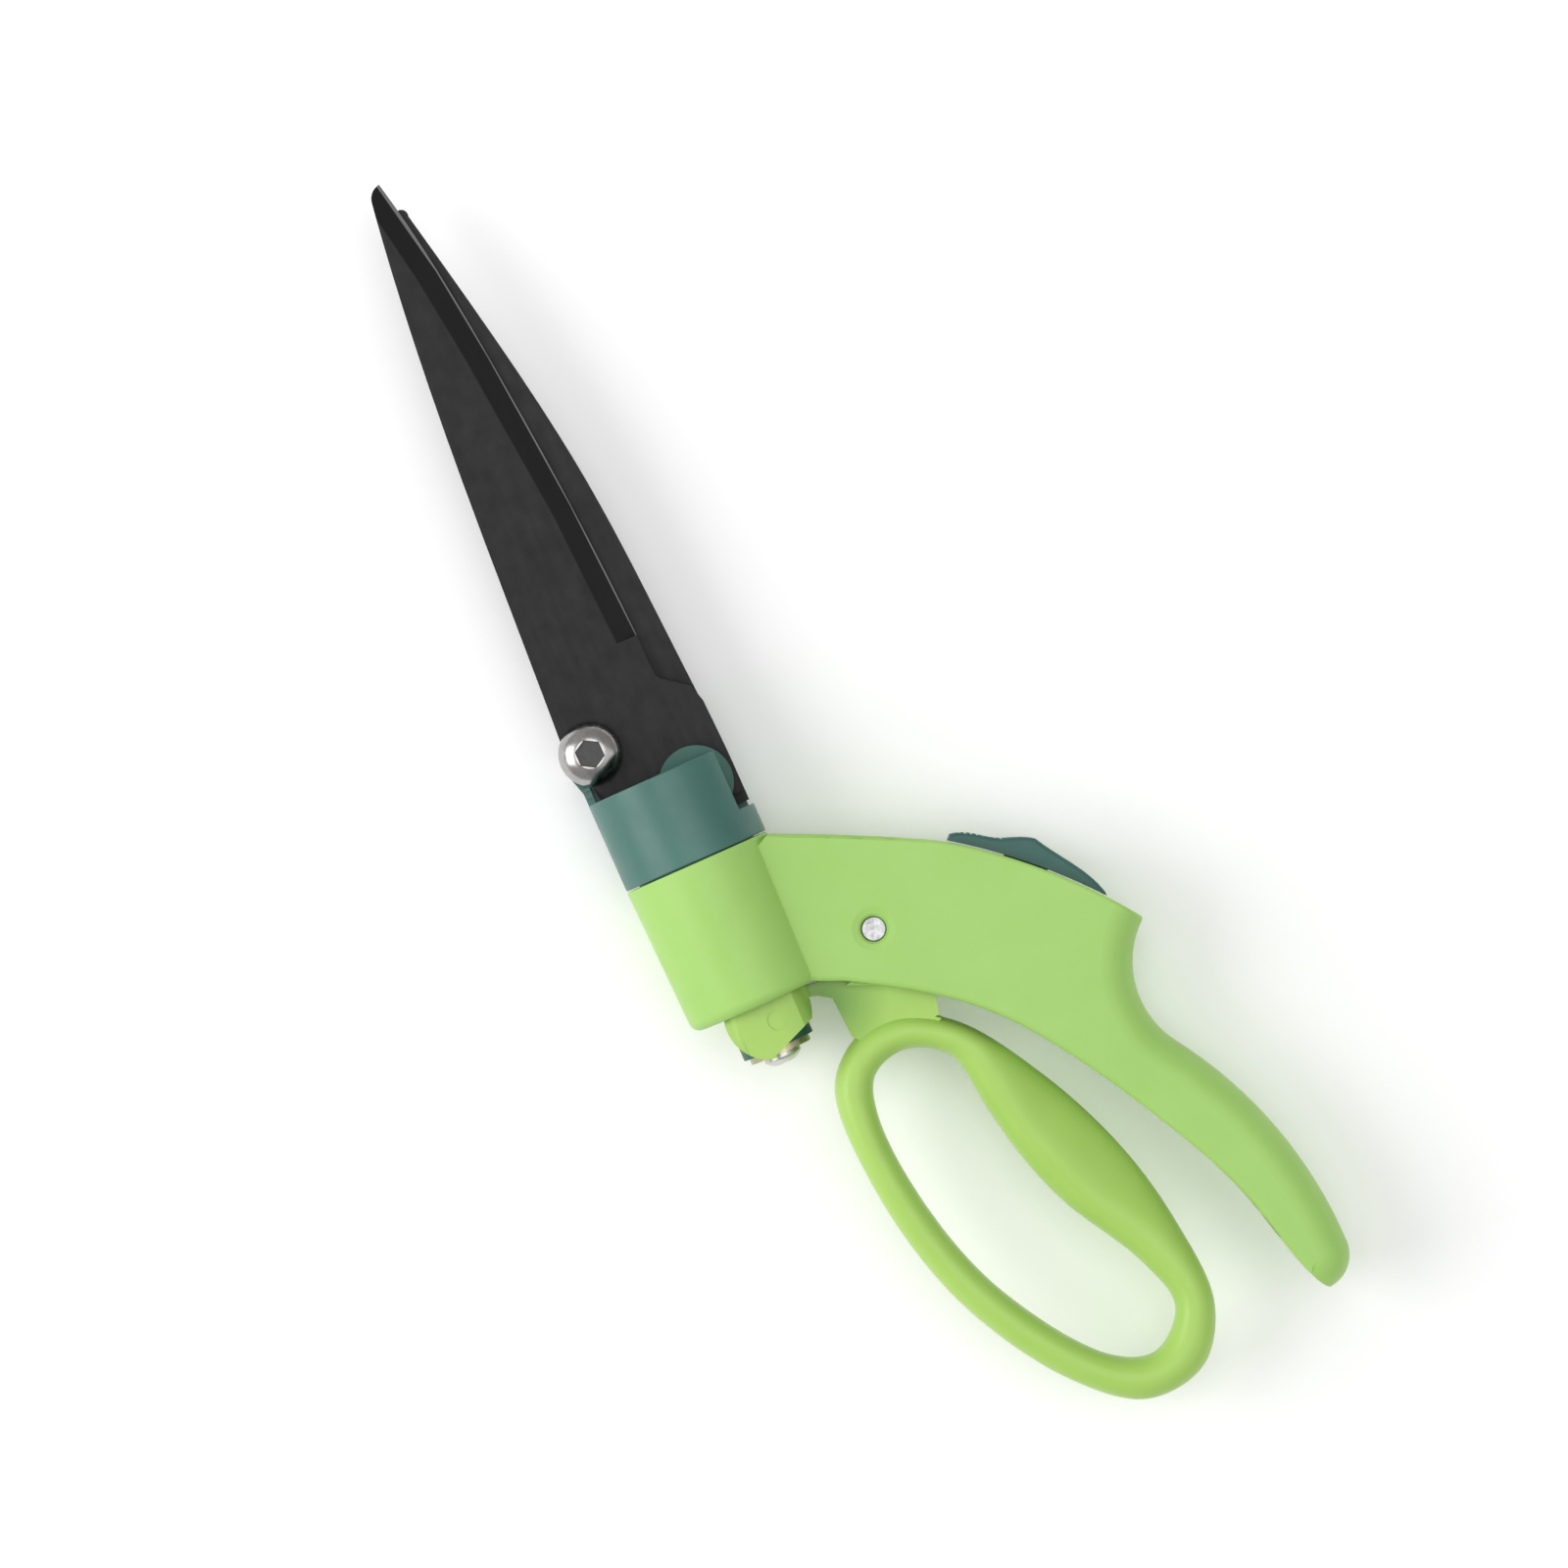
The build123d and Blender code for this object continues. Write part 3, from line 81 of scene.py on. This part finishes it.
# ---------------------------------------------------------------- materials
class Shader:
    """A material's node tree, with helpers that add a node and give back its output."""

    def __init__(self, name, **sockets):
        self.material = bpy.data.materials.new(name)
        self.material.use_nodes = True
        self.tree = self.material.node_tree
        self.bsdf = self.tree.nodes["Principled BSDF"]
        for socket, value in sockets.items():
            self.bsdf.inputs[socket.replace("_", " ")].default_value = value
        self.coords = self.node("ShaderNodeTexCoord").outputs["Object"]

    def node(self, kind, **values):
        made = self.tree.nodes.new(kind)
        for key, value in values.items():
            setattr(made, key, value)
        return made

    def link(self, a, b):
        self.tree.links.new(a, b)

    def feed(self, value, socket):
        """Put a constant on a socket, or link another node's output to it."""
        if isinstance(value, bpy.types.NodeSocket):
            self.link(value, socket)
        else:
            socket.default_value = value

    def noise(self, scale, detail, stretch=(1, 1, 1)):
        mapping = self.node("ShaderNodeMapping")
        mapping.inputs["Scale"].default_value = stretch
        self.link(self.coords, mapping.inputs["Vector"])
        noise = self.node("ShaderNodeTexNoise")
        noise.inputs["Scale"].default_value = scale
        noise.inputs["Detail"].default_value = detail
        self.link(mapping.outputs["Vector"], noise.inputs["Vector"])
        return noise.outputs["Fac"]

    def ramp(self, factor, *stops):
        """A colour between two stops, each a position and its colour."""
        ramp = self.node("ShaderNodeValToRGB")
        for element, (position, colour) in zip(ramp.color_ramp.elements, stops):
            element.position, element.color = position, colour
        self.link(factor, ramp.inputs["Fac"])
        return ramp.outputs["Color"]

    def spread(self, factor, low, high, from_low=0.3, from_high=0.7):
        """A factor rescaled to run from low to high. Noise hardly leaves 0.3 to 0.7."""
        spread = self.node("ShaderNodeMapRange")
        ends = {"From Min": from_low, "From Max": from_high, "To Min": low, "To Max": high}
        for name, value in ends.items():
            spread.inputs[name].default_value = value
        self.link(factor, spread.inputs["Value"])
        return spread.outputs["Result"]

    def mix(self, factor, a, b):
        """Colour a where the factor is 0, b where it is 1."""
        mix = self.node("ShaderNodeMix", data_type="RGBA")
        # An RGBA mix takes its factor on socket 0, its colours on 6 and 7, and gives its result on 2
        for value, index in ((factor, 0), (a, 6), (b, 7)):
            self.feed(value, mix.inputs[index])
        return mix.outputs[2]

    def math(self, operation, a, b=0.0):
        node = self.node("ShaderNodeMath", operation=operation)
        self.feed(a, node.inputs[0])
        self.feed(b, node.inputs[1])
        return node.outputs["Value"]

    def split(self, vector):
        """A vector's X, Y and Z."""
        split = self.node("ShaderNodeSeparateXYZ")
        self.link(vector, split.inputs["Vector"])
        return split.outputs

    def distance(self, point):
        """How far the surface is from a point."""
        away = self.node("ShaderNodeVectorMath", operation="DISTANCE")
        self.link(self.coords, away.inputs[0])
        away.inputs[1].default_value = point
        return away.outputs["Value"]

    def bump(self, height, distance, strength, under=None):
        bump = self.node("ShaderNodeBump")
        bump.inputs["Strength"].default_value = strength
        bump.inputs["Distance"].default_value = distance
        self.link(height, bump.inputs["Height"])
        if under is not None:
            self.link(under, bump.inputs["Normal"])
        return bump.outputs["Normal"]

    def facing(self):
        """How far the piece's own surface turns away from its flat sides: 0 on them, 1 on the edges."""
        normal = self.node("ShaderNodeTexCoord").outputs["Normal"]
        return self.math("SUBTRACT", 1.0, self.math("ABSOLUTE", self.split(normal)["Z"]))

    def finish(self, colour, roughness, normal):
        """Link the three outputs that every finish here has, and give back the material."""
        self.link(colour, self.bsdf.inputs["Base Color"])
        self.link(roughness, self.bsdf.inputs["Roughness"])
        self.link(normal, self.bsdf.inputs["Normal"])
        return self.material


# Painted shade: a darker green for the shade in the web's corner beside the barrel, under the handle
SHADE_GREEN = srgb(112, 159, 66)
SHADE_FULL, SHADE_END = 1.5 * MM, 14.0 * MM    # painted shade is full up to the one reach and gone at the other
COATING_LIGHT, COATING_DARK = srgb(38, 38, 38), srgb(28, 28, 29)
# Painted shade: the darker black of the ground bevel's faces
BEVEL_SHADE = srgb(13, 13, 14)
BEVEL_FROM, BEVEL_FULL = 0.015, 0.04            # how far a face turns off the flats to count as bevel
BARE_STEEL = srgb(122, 122, 121)
BARE_FULL, BARE_END = (EDGE_T + 0.04) * MM, (EDGE_T + 0.08) * MM    # bare steel's reach off the cutting plane
PLATING_LIGHT, PLATING_DARK = (0.46, 0.45, 0.44, 1), (0.37, 0.36, 0.36, 1)
# Painted shade in the bolt head's hexagon socket
SOCKET_SHADE = (0.05, 0.05, 0.05, 1)
SOCKET_RIM = 0.1 * MM       # the socket's painted shade fades out over this width
SOCKET_LIP, SOCKET_DEEP = 0.1 * MM, 0.5 * MM    # and starts and is full this far below the head's crown


def plastic(name, light, dark, rough=0.42, specular=0.4, shaded_corner=None):
    """Moulded plastic: faint clouding, uneven gloss, a fine grain, and painted shade round a corner if it has
    one.
    """
    shader = Shader(name, Specular_IOR_Level=specular)
    colour = shader.ramp(shader.noise(scale=38, detail=4), (0.3, dark), (0.7, light))
    if shaded_corner is not None:
        # Painted shade: darker towards the given corner
        painted_shade = shader.spread(shader.distance(shaded_corner), 1.0, 0.0, SHADE_FULL, SHADE_END)
        colour = shader.mix(painted_shade, colour, SHADE_GREEN)
    gloss = shader.spread(shader.noise(scale=160, detail=5), rough - 0.05, rough + 0.07)
    ripple = shader.bump(shader.noise(scale=60, detail=2), distance=0.12 * MM, strength=0.4)
    grain = shader.bump(shader.noise(scale=2600, detail=3), distance=0.02 * MM, strength=0.8, under=ripple)
    return shader.finish(colour, gloss, grain)


def metal(name, light, dark, rough, scale=900, depth=0.01 * MM):
    """Bare or plated metal with fine tool marks and slight tarnish."""
    shader = Shader(name, Metallic=1.0)
    marks = shader.noise(scale, detail=4)
    tarnished = shader.ramp(shader.noise(scale=420, detail=5), (0.32, dark), (0.62, light))
    gloss = shader.spread(marks, rough * 0.75, rough * 1.35)
    return shader.finish(tarnished, gloss, shader.bump(marks, depth, strength=0.6))


def blade_coating(name, keen_side):
    """Black non-stick coating with faint long brush marks, painted shade on the ground bevel, and a hairline
    of bare steel at the edge.
    """
    shader = Shader(name, Specular_IOR_Level=0.25)
    brushed = shader.noise(scale=520, detail=5, stretch=(0.12, 1, 1))
    coating = shader.ramp(shader.noise(scale=240, detail=6), (0.3, COATING_DARK), (0.7, COATING_LIGHT))
    # Painted shade: the coating is darker on the ground bevel's faces, which turn off the flats
    bevel = shader.spread(shader.facing(), 0.0, 1.0, BEVEL_FROM, BEVEL_FULL)
    coating = shader.mix(bevel, coating, BEVEL_SHADE)
    # The bevel's last tenths of a millimetre beside the cutting plane are bare
    height = shader.split(shader.coords)["Z"]
    depth = shader.math("ABSOLUTE", shader.math("SUBTRACT", height, keen_side))
    near = shader.spread(depth, 1.0, 0.0, BARE_FULL, BARE_END)
    keen = shader.math("MULTIPLY", bevel, near)
    shader.link(shader.math("MULTIPLY", keen, 0.4), shader.bsdf.inputs["Metallic"])
    gloss = shader.spread(brushed, 0.44, 0.58)
    return shader.finish(shader.mix(keen, coating, BARE_STEEL), gloss, shader.bump(brushed, 0.01 * MM, 0.6))


def bolt_chrome():
    """Polished plating, with painted shade darkening the head's hexagon socket."""
    shader = Shader("bolt_chrome", Metallic=1.0)
    marks = shader.noise(scale=700, detail=4)
    plated = shader.ramp(shader.noise(scale=420, detail=5), (0.32, PLATING_DARK), (0.62, PLATING_LIGHT))
    middle = place(BOLT_X, BOLT_Y)
    shift = shader.node("ShaderNodeVectorMath", operation="SUBTRACT")
    shader.link(shader.coords, shift.inputs[0])
    shift.inputs[1].default_value = middle
    x, y, height = shader.split(shift.outputs["Vector"])
    squares = (shader.math("POWER", x, 2.0), shader.math("POWER", y, 2.0))
    reach = shader.math("POWER", shader.math("ADD", *squares), 0.5)
    inside = shader.spread(reach, 1.0, 0.0, SOCKET_R * MM, SOCKET_R * MM + SOCKET_RIM)
    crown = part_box("pivot_bolt")[1].z - middle.z
    below = shader.spread(height, 1.0, 0.0, crown - SOCKET_DEEP, crown - SOCKET_LIP)
    # Painted shade: dark inside the socket's reach and below the crown
    socket = shader.math("MULTIPLY", inside, below)
    colour = shader.mix(socket, plated, SOCKET_SHADE)
    return shader.finish(colour, shader.spread(marks, 0.19, 0.29), shader.bump(marks, 0.006 * MM, 0.5))


GREEN = plastic("handle_green", srgb(166, 210, 112), srgb(160, 205, 105))
TRIGGER_TONES = srgb(171, 210, 103), srgb(165, 205, 97)
LOOP_GREEN = plastic("trigger_green", *TRIGGER_TONES, rough=0.36)
# The web's green carries painted shade near its corner between barrel and handle
WEB_GREEN = plastic("trigger_web_green", *TRIGGER_TONES, rough=0.36,
                    shaded_corner=place(*WEB_CORNER, WEB_HALF))
HEAD_GREEN = plastic("head_dark_green", srgb(67, 115, 105), srgb(60, 106, 97), rough=0.38, specular=0.55)
LOCK_GREEN = plastic("lock_dark_green", srgb(58, 100, 94), srgb(51, 91, 85), rough=0.45)
ROD_GREEN = plastic("rod_dark_green", srgb(50, 98, 86), srgb(42, 86, 75), rough=0.4)
NYLON = plastic("nylon", srgb(214, 212, 200), srgb(204, 202, 188), rough=0.5)
BOLT_CHROME = bolt_chrome()
CHROME = metal("nut_chrome", (0.60, 0.59, 0.58, 1), (0.50, 0.49, 0.48, 1), rough=0.2)
PIN_STEEL = metal("pin_steel", (0.62, 0.62, 0.63, 1), (0.38, 0.38, 0.40, 1), rough=0.42,
                  scale=1500, depth=0.04 * MM)
SCREW_STEEL = metal("screw_steel", (0.62, 0.61, 0.59, 1), (0.5, 0.49, 0.47, 1), rough=0.24)
SPRING_STEEL = metal("spring_steel", (0.42, 0.42, 0.43, 1), (0.3, 0.3, 0.31, 1), rough=0.3)
WASHER_STEEL = metal("washer_steel", (0.6, 0.6, 0.6, 1), (0.48, 0.48, 0.48, 1), rough=0.28)
YELLOW_ZINC = metal("rod_washer_zinc", (0.52, 0.50, 0.28, 1), (0.40, 0.40, 0.24, 1), rough=0.32)
# The cutting plane is the moving blade's underside and the fixed blade's top
MOVING_BLADE = blade_coating("moving_blade_coating", nodes["moving_blade"].bound_box[0][2])
FIXED_BLADE = blade_coating("fixed_blade_coating", nodes["fixed_blade"].bound_box[1][2])

FINISHES = {
    "handle": GREEN, "trigger": LOOP_GREEN, "pivot_pin": PIN_STEEL, "return_spring": SPRING_STEEL,
    "click_spring": SPRING_STEEL, "click_screw": SCREW_STEEL,
    "swivel_head": HEAD_GREEN, "thrust_washer": NYLON, "circlip": SPRING_STEEL,
    "moving_blade": MOVING_BLADE, "fixed_blade": FIXED_BLADE, "blade_screws": SCREW_STEEL,
    "pivot_bolt": BOLT_CHROME, "bolt_washer": WASHER_STEEL, "nut_washer": WASHER_STEEL,
    "pivot_nut": CHROME, "nut_insert": NYLON,
    "drive_rod": ROD_GREEN, "drive_pin": PIN_STEEL, "rod_washer": YELLOW_ZINC, "rod_screw": SCREW_STEEL,
    "lock_slider": LOCK_GREEN, "lock_catch": LOCK_GREEN, "lock_screw": SCREW_STEEL,
}


def coat(obj, material):
    obj.data.materials.clear()
    obj.data.materials.append(material)


for name, obj in nodes.items():
    coat(obj, FINISHES[name])

# Broad faces alone set the shading of the curved mouldings: slivers in their mesh have no say in it
BROAD_FACE_WEIGHT, BROAD_FACE_STEP = 100, 0.01
for name in ("handle", "swivel_head", "drive_rod", "lock_slider"):
    shading = nodes[name].modifiers.new("shading", "WEIGHTED_NORMAL")
    shading.weight = BROAD_FACE_WEIGHT
    shading.thresh = BROAD_FACE_STEP


# ---------------------------------------------------------------- trigger and its finger loop
# Both outlines run the same way round, from the loop's front end along the strand beside the grip
LOOP_OUTER = (
    (-60.6, -7.9), (-52.2, -16.6), (-51.0, -27.3), (-58.0, -39.8), (-77.2, -52.9), (-100.0, -62.7),
    (-121.0, -67.2), (-141.5, -67.6), (-153.6, -59.3), (-155.3, -44.6), (-143.6, -29.8),
    (-116.9, -13.9), (-85.4, -6.7),
)
LOOP_INNER = (
    (-61.8, -17.6), (-59.2, -26.0), (-64.5, -35.2), (-79.5, -38.0), (-92.5, -40.7), (-106.0, -45.4),
    (-126.5, -56.4), (-138.4, -59.0), (-146.0, -50.8), (-142.6, -41.0), (-119.0, -24.1),
    (-95.0, -16.3), (-71.0, -14.4),
)
SPINE_A, SPINE_B = Vector((-69.0, -25.0)), Vector((-136.0, -50.5))    # ends of the opening's middle line
TURN_R = 26.0               # spacing of the stations round the spine's ends: as on an arc of this radius
LOOP_AROUND, LOOP_ACROSS = 168, 28      # points round the loop and round its section
ROUND_HALF, REST_HALF = 4.6, 8.6        # half widths at which a strand is round, or is fully the finger rest
ROUND_POWER, REST_POWER = 2.35, 1.65    # 2 is an ellipse, more is fuller, less runs to a crest
REST_LEAN = 0.40            # how far the rest's crest stands towards its inner edge, as a share of its reach


def closed_curve(points, steps=24):
    """Points along a smooth closed curve through the given points."""
    out, count = [], len(points)
    for i in range(count):
        p0, p1, p2, p3 = (Vector(points[(i + k - 1) % count]) for k in range(4))
        # Centripetal spacing keeps uneven points free of overshoot
        t0 = 0.0
        t1 = t0 + (p1 - p0).length ** 0.5
        t2 = t1 + (p2 - p1).length ** 0.5
        t3 = t2 + (p3 - p2).length ** 0.5
        for s in range(steps):
            t = t1 + (t2 - t1) * s / steps
            a1 = p0 * ((t1 - t) / (t1 - t0)) + p1 * ((t - t0) / (t1 - t0))
            a2 = p1 * ((t2 - t) / (t2 - t1)) + p2 * ((t - t1) / (t2 - t1))
            a3 = p2 * ((t3 - t) / (t3 - t2)) + p3 * ((t - t2) / (t3 - t2))
            b1 = a1 * ((t2 - t) / (t2 - t0)) + a2 * ((t - t0) / (t2 - t0))
            b2 = a2 * ((t3 - t) / (t3 - t1)) + a3 * ((t - t1) / (t3 - t1))
            out.append(b1 * ((t2 - t) / (t2 - t1)) + b2 * ((t - t1) / (t2 - t1)))
    return out


def hit(curve, start, direction):
    """The furthest point where a ray from inside meets a closed curve."""
    best = None
    for p, q in zip(curve, curve[1:] + curve[:1]):
        edge = q - p
        across = direction.x * edge.y - direction.y * edge.x
        if abs(across) < 1e-9:
            continue
        away = p - start
        along = (away.x * edge.y - away.y * edge.x) / across
        share = (away.x * direction.y - away.y * direction.x) / across
        if along > 0 and -1e-6 <= share <= 1 + 1e-6 and (best is None or along > best):
            best = along
    return start + direction * best


def loop_stations(count):
    """Pairs of inner and outer points round the loop, along rays from the spine of the opening."""
    outer, inner = closed_curve(LOOP_OUTER), closed_curve(LOOP_INNER)
    side = (SPINE_B - SPINE_A).normalized()
    up = Vector((-side.y, side.x))
    length, turn = (SPINE_B - SPINE_A).length, TURN_R * math.pi
    total = 2 * (length + turn)
    stations = []
    for i in range(count):
        s = total * i / count
        if s < length:
            start, direction = SPINE_A + side * s, up
        elif s < length + turn:
            angle = math.pi * (s - length) / turn
            start, direction = SPINE_B, up * math.cos(angle) + side * math.sin(angle)
        elif s < 2 * length + turn:
            start, direction = SPINE_B - side * (s - length - turn), -up
        else:
            angle = math.pi * (s - 2 * length - turn) / turn
            start, direction = SPINE_A, -up * math.cos(angle) - side * math.sin(angle)
        stations.append((hit(inner, start, direction), hit(outer, start, direction)))
    return stations


def power(value, exponent):
    return math.copysign(abs(value) ** exponent, value)


def mesh_object(name, bm, material, smooth=True):
    mesh = bpy.data.meshes.new(name)
    bm.to_mesh(mesh)
    bm.free()
    if smooth:
        mesh.shade_smooth()
    mesh.materials.append(material)
    obj = bpy.data.objects.new(name, mesh)
    bpy.context.scene.collection.objects.link(obj)
    return obj


def finger_loop():
    """Round ring whose strand beside the grip swells into a crested rest for the fingers' pull."""
    bm = bmesh.new()
    rings = []
    for inner, outer in loop_stations(LOOP_AROUND):
        middle, reach = (inner + outer) / 2, (outer - inner) / 2
        swell = min(1.0, max(0.0, (reach.length - ROUND_HALF) / (REST_HALF - ROUND_HALF)))
        exponent = 2 / (ROUND_POWER + (REST_POWER - ROUND_POWER) * swell)
        ring = []
        for k in range(LOOP_ACROSS):
            angle = 2 * math.pi * k / LOOP_ACROSS
            share = power(math.cos(angle), exponent)
            height = power(math.sin(angle), exponent) * LOOP_HALF
            lean = -REST_LEAN * swell * (1 - share * share)
            point = middle + reach * (share + lean)
            ring.append(bm.verts.new(place(point.x, point.y, height)))
        rings.append(ring)
    for a, b in zip(rings, rings[1:] + rings[:1]):
        for k in range(LOOP_ACROSS):
            j = (k + 1) % LOOP_ACROSS
            bm.faces.new((a[k], a[j], b[j], b[k]))
    bmesh.ops.recalc_face_normals(bm, faces=bm.faces)
    return mesh_object("finger_loop_ring", bm, LOOP_GREEN)


def prism(outline, low, high):
    """A cutter: an outline in the design frame's plan, between two heights."""
    bm = bmesh.new()
    floor_ring = [bm.verts.new(place(p.x, p.y, low)) for p in outline]
    roof_ring = [bm.verts.new(place(p.x, p.y, high)) for p in outline]
    bm.faces.new(list(reversed(floor_ring)))
    bm.faces.new(roof_ring)
    for k in range(len(outline)):
        j = (k + 1) % len(outline)
        bm.faces.new((floor_ring[k], floor_ring[j], roof_ring[j], roof_ring[k]))
    bmesh.ops.recalc_face_normals(bm, faces=bm.faces)
    return mesh_object("cutter", bm, LOOP_GREEN, smooth=False)


WEB_JOINT_X, WEB_JOINT_Y = -57.5, (-36.4, -17.4)    # the web joins the loop's outline in front and between
ROOT_INSET = 2.0            # the web's root reaches this far into the loop's round
STRAND_CLEAR, SIDE_CLEAR = 1.0, 0.3     # the cutters stand this far outside the loop's outline
CUT_REACH = 9               # the cutters go this far up and down, past the loop's thickness
CUTTER_STEPS = 10           # points from one point of the outline to the next
WELD = 0.002 * MM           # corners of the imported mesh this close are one


def at_web(point):
    """Whether a point of the loop's outline is where the web joins it."""
    return point.x > WEB_JOINT_X and WEB_JOINT_Y[0] < point.y < WEB_JOINT_Y[1]


def trigger_body():
    """The trigger without its loop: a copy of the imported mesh, cut back to a root inside the loop."""
    copy = nodes["trigger"].data.copy()
    obj = bpy.data.objects.new("trigger_body", copy)
    bpy.context.scene.collection.objects.link(obj)
    bm = bmesh.new()
    bm.from_mesh(copy)
    bmesh.ops.remove_doubles(bm, verts=bm.verts, dist=WELD)
    bm.to_mesh(copy)
    bm.free()
    spine = SPINE_B - SPINE_A
    root, around = [], []
    for p in closed_curve(LOOP_OUTER, CUTTER_STEPS):
        along = (p - SPINE_A).dot(spine) / spine.length_squared
        inward = (SPINE_A + spine * min(1.0, max(0.0, along)) - p).normalized()
        root.append(p + inward * (ROOT_INSET if at_web(p) else -STRAND_CLEAR))
        around.append(p - inward * SIDE_CLEAR)
    # The first cut leaves the root, and the other two make it no thicker than the web
    cuts = ((root, -CUT_REACH, CUT_REACH), (around, WEB_HALF, CUT_REACH), (around, -CUT_REACH, -WEB_HALF))
    for outline, low, high in cuts:
        cutter = prism(outline, low, high)
        cut = obj.modifiers.new("cut", "BOOLEAN")
        cut.operation, cut.solver, cut.object = "DIFFERENCE", "EXACT", cutter
        bpy.context.view_layer.update()
        evaluated = obj.evaluated_get(bpy.context.evaluated_depsgraph_get())
        trimmed = bpy.data.meshes.new_from_object(evaluated)
        obj.modifiers.clear()
        obj.data = trimmed
        bpy.data.objects.remove(cutter)
    coat(obj, WEB_GREEN)
    return obj


def wound_spring():
    """The return spring, with its legs in the trigger and in the handle, copied as an object of its own; the
    imported one is hidden.
    """
    obj = bpy.data.objects.new("return_spring_wire", nodes["return_spring"].data.copy())
    bpy.context.scene.collection.objects.link(obj)
    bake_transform(obj)
    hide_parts("return_spring")


wound_spring()
ring = finger_loop()
body = trigger_body()
for piece in (ring, body):
    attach(piece, "trigger")
    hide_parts("trigger")


# ---------------------------------------------------------------- floor, light and camera
PICTURE_TURN = 24           # degrees from the picture's upright to the shears' long axis
FLOOR_REACH, FLOOR_DROP = 4.0, 0.2 * MM         # the floor's half size and how far it is under the shears
FLOOR_GLOW = 0.12           # keeps the floor pale in the shears' shadow
FLOOR_LIGHT, FLOOR_DARK = (0.96, 0.96, 0.96, 1), (0.94, 0.94, 0.94, 1)
LIGHT_TARGET = Vector((0, 0, 0.015))            # the middle of the shears
WORLD_RIGHT, WORLD_LEFT = 0.32, 0.52    # strength of the surroundings at the picture's two sides
VIEW_WIDTH = 360.8 * MM     # what the picture spans at the blades' plane
VIEW_MIDDLE = (7.93, -25.64)    # the point of the blades' plane at the picture's middle
CAMERA_HEIGHT = 1.5         # above the blades' plane
CAMERA_NEAR = 0.05
SENSOR = 36


def photo_vector(right, up, out):
    """A direction given in the picture's right and up and towards the camera, in the row frame."""
    turn = math.radians(PICTURE_TURN)
    return Vector((
        -math.sin(turn) * right + math.cos(turn) * up,
        -math.cos(turn) * right - math.sin(turn) * up,
        out,
    ))


def stage_floor():
    bm = bmesh.new()
    signs = ((-1, -1), (1, -1), (1, 1), (-1, 1))
    bm.faces.new([bm.verts.new((x * FLOOR_REACH, y * FLOOR_REACH, -FLOOR_DROP)) for x, y in signs])
    shader = Shader(
        "floor_pale", Roughness=0.9, Specular_IOR_Level=0.1,
        Emission_Color=(1, 1, 1, 1), Emission_Strength=FLOOR_GLOW,
    )
    tone = shader.ramp(shader.noise(scale=3, detail=2), (0.3, FLOOR_DARK), (0.7, FLOOR_LIGHT))
    shader.link(tone, shader.bsdf.inputs["Base Color"])
    floor = mesh_object("floor", bm, shader.material, smooth=False)


def area_light(name, right, up, out, size, watts):
    """A square lamp at a place given as in the picture, turned to the shears."""
    light = bpy.data.lights.new(name, "AREA")
    light.shape = "SQUARE"
    light.size = size
    light.energy = watts
    obj = bpy.data.objects.new(name, light)
    obj.location = LIGHT_TARGET + photo_vector(right, up, out)
    obj.rotation_mode = "QUATERNION"
    obj.rotation_quaternion = (LIGHT_TARGET - obj.location).to_track_quat("-Z", "Y")
    bpy.context.scene.collection.objects.link(obj)


def studio_world():
    """Even pale surroundings, brighter at the picture's left."""
    world = bpy.data.worlds.new("studio")
    world.use_nodes = True
    tree = world.node_tree
    background = tree.nodes["Background"]
    background.inputs["Color"].default_value = (1, 1, 1, 1)
    direction = tree.nodes.new("ShaderNodeTexCoord")
    leftward = tree.nodes.new("ShaderNodeVectorMath")
    leftward.operation = "DOT_PRODUCT"
    leftward.inputs[1].default_value = photo_vector(-1, 0, 0)
    tree.links.new(direction.outputs["Generated"], leftward.inputs[0])
    strength = tree.nodes.new("ShaderNodeMapRange")
    ends = {"From Min": -1, "From Max": 1, "To Min": WORLD_RIGHT, "To Max": WORLD_LEFT}
    for name, value in ends.items():
        strength.inputs[name].default_value = value
    tree.links.new(leftward.outputs["Value"], strength.inputs["Value"])
    tree.links.new(strength.outputs["Result"], background.inputs["Strength"])
    bpy.context.scene.world = world


def photo_camera():
    """Square on to the shears' flat side, from far off."""
    data = bpy.data.cameras.new("camera")
    data.sensor_width = SENSOR
    data.lens = SENSOR * CAMERA_HEIGHT / VIEW_WIDTH
    data.clip_start = CAMERA_NEAR
    camera = bpy.data.objects.new("camera", data)
    bpy.context.scene.collection.objects.link(camera)
    middle = place(*VIEW_MIDDLE)
    right, upward, outward = photo_vector(1, 0, 0), photo_vector(0, 1, 0), photo_vector(0, 0, 1)
    camera.matrix_world = Matrix((
        (right.x, upward.x, outward.x, middle.x),
        (right.y, upward.y, outward.y, middle.y),
        (right.z, upward.z, outward.z, middle.z + CAMERA_HEIGHT),
        (0, 0, 0, 1),
    ))
    bpy.context.scene.camera = camera


stage_floor()
area_light("key", right=-1.4, up=-0.1, out=0.95, size=1.2, watts=16.5)
area_light("fill", right=1.2, up=-0.3, out=1.1, size=1.4, watts=4)
area_light("top", right=0.1, up=0.2, out=2.2, size=1.6, watts=14)
studio_world()
photo_camera()
bpy.context.scene.view_settings.view_transform = "Standard"
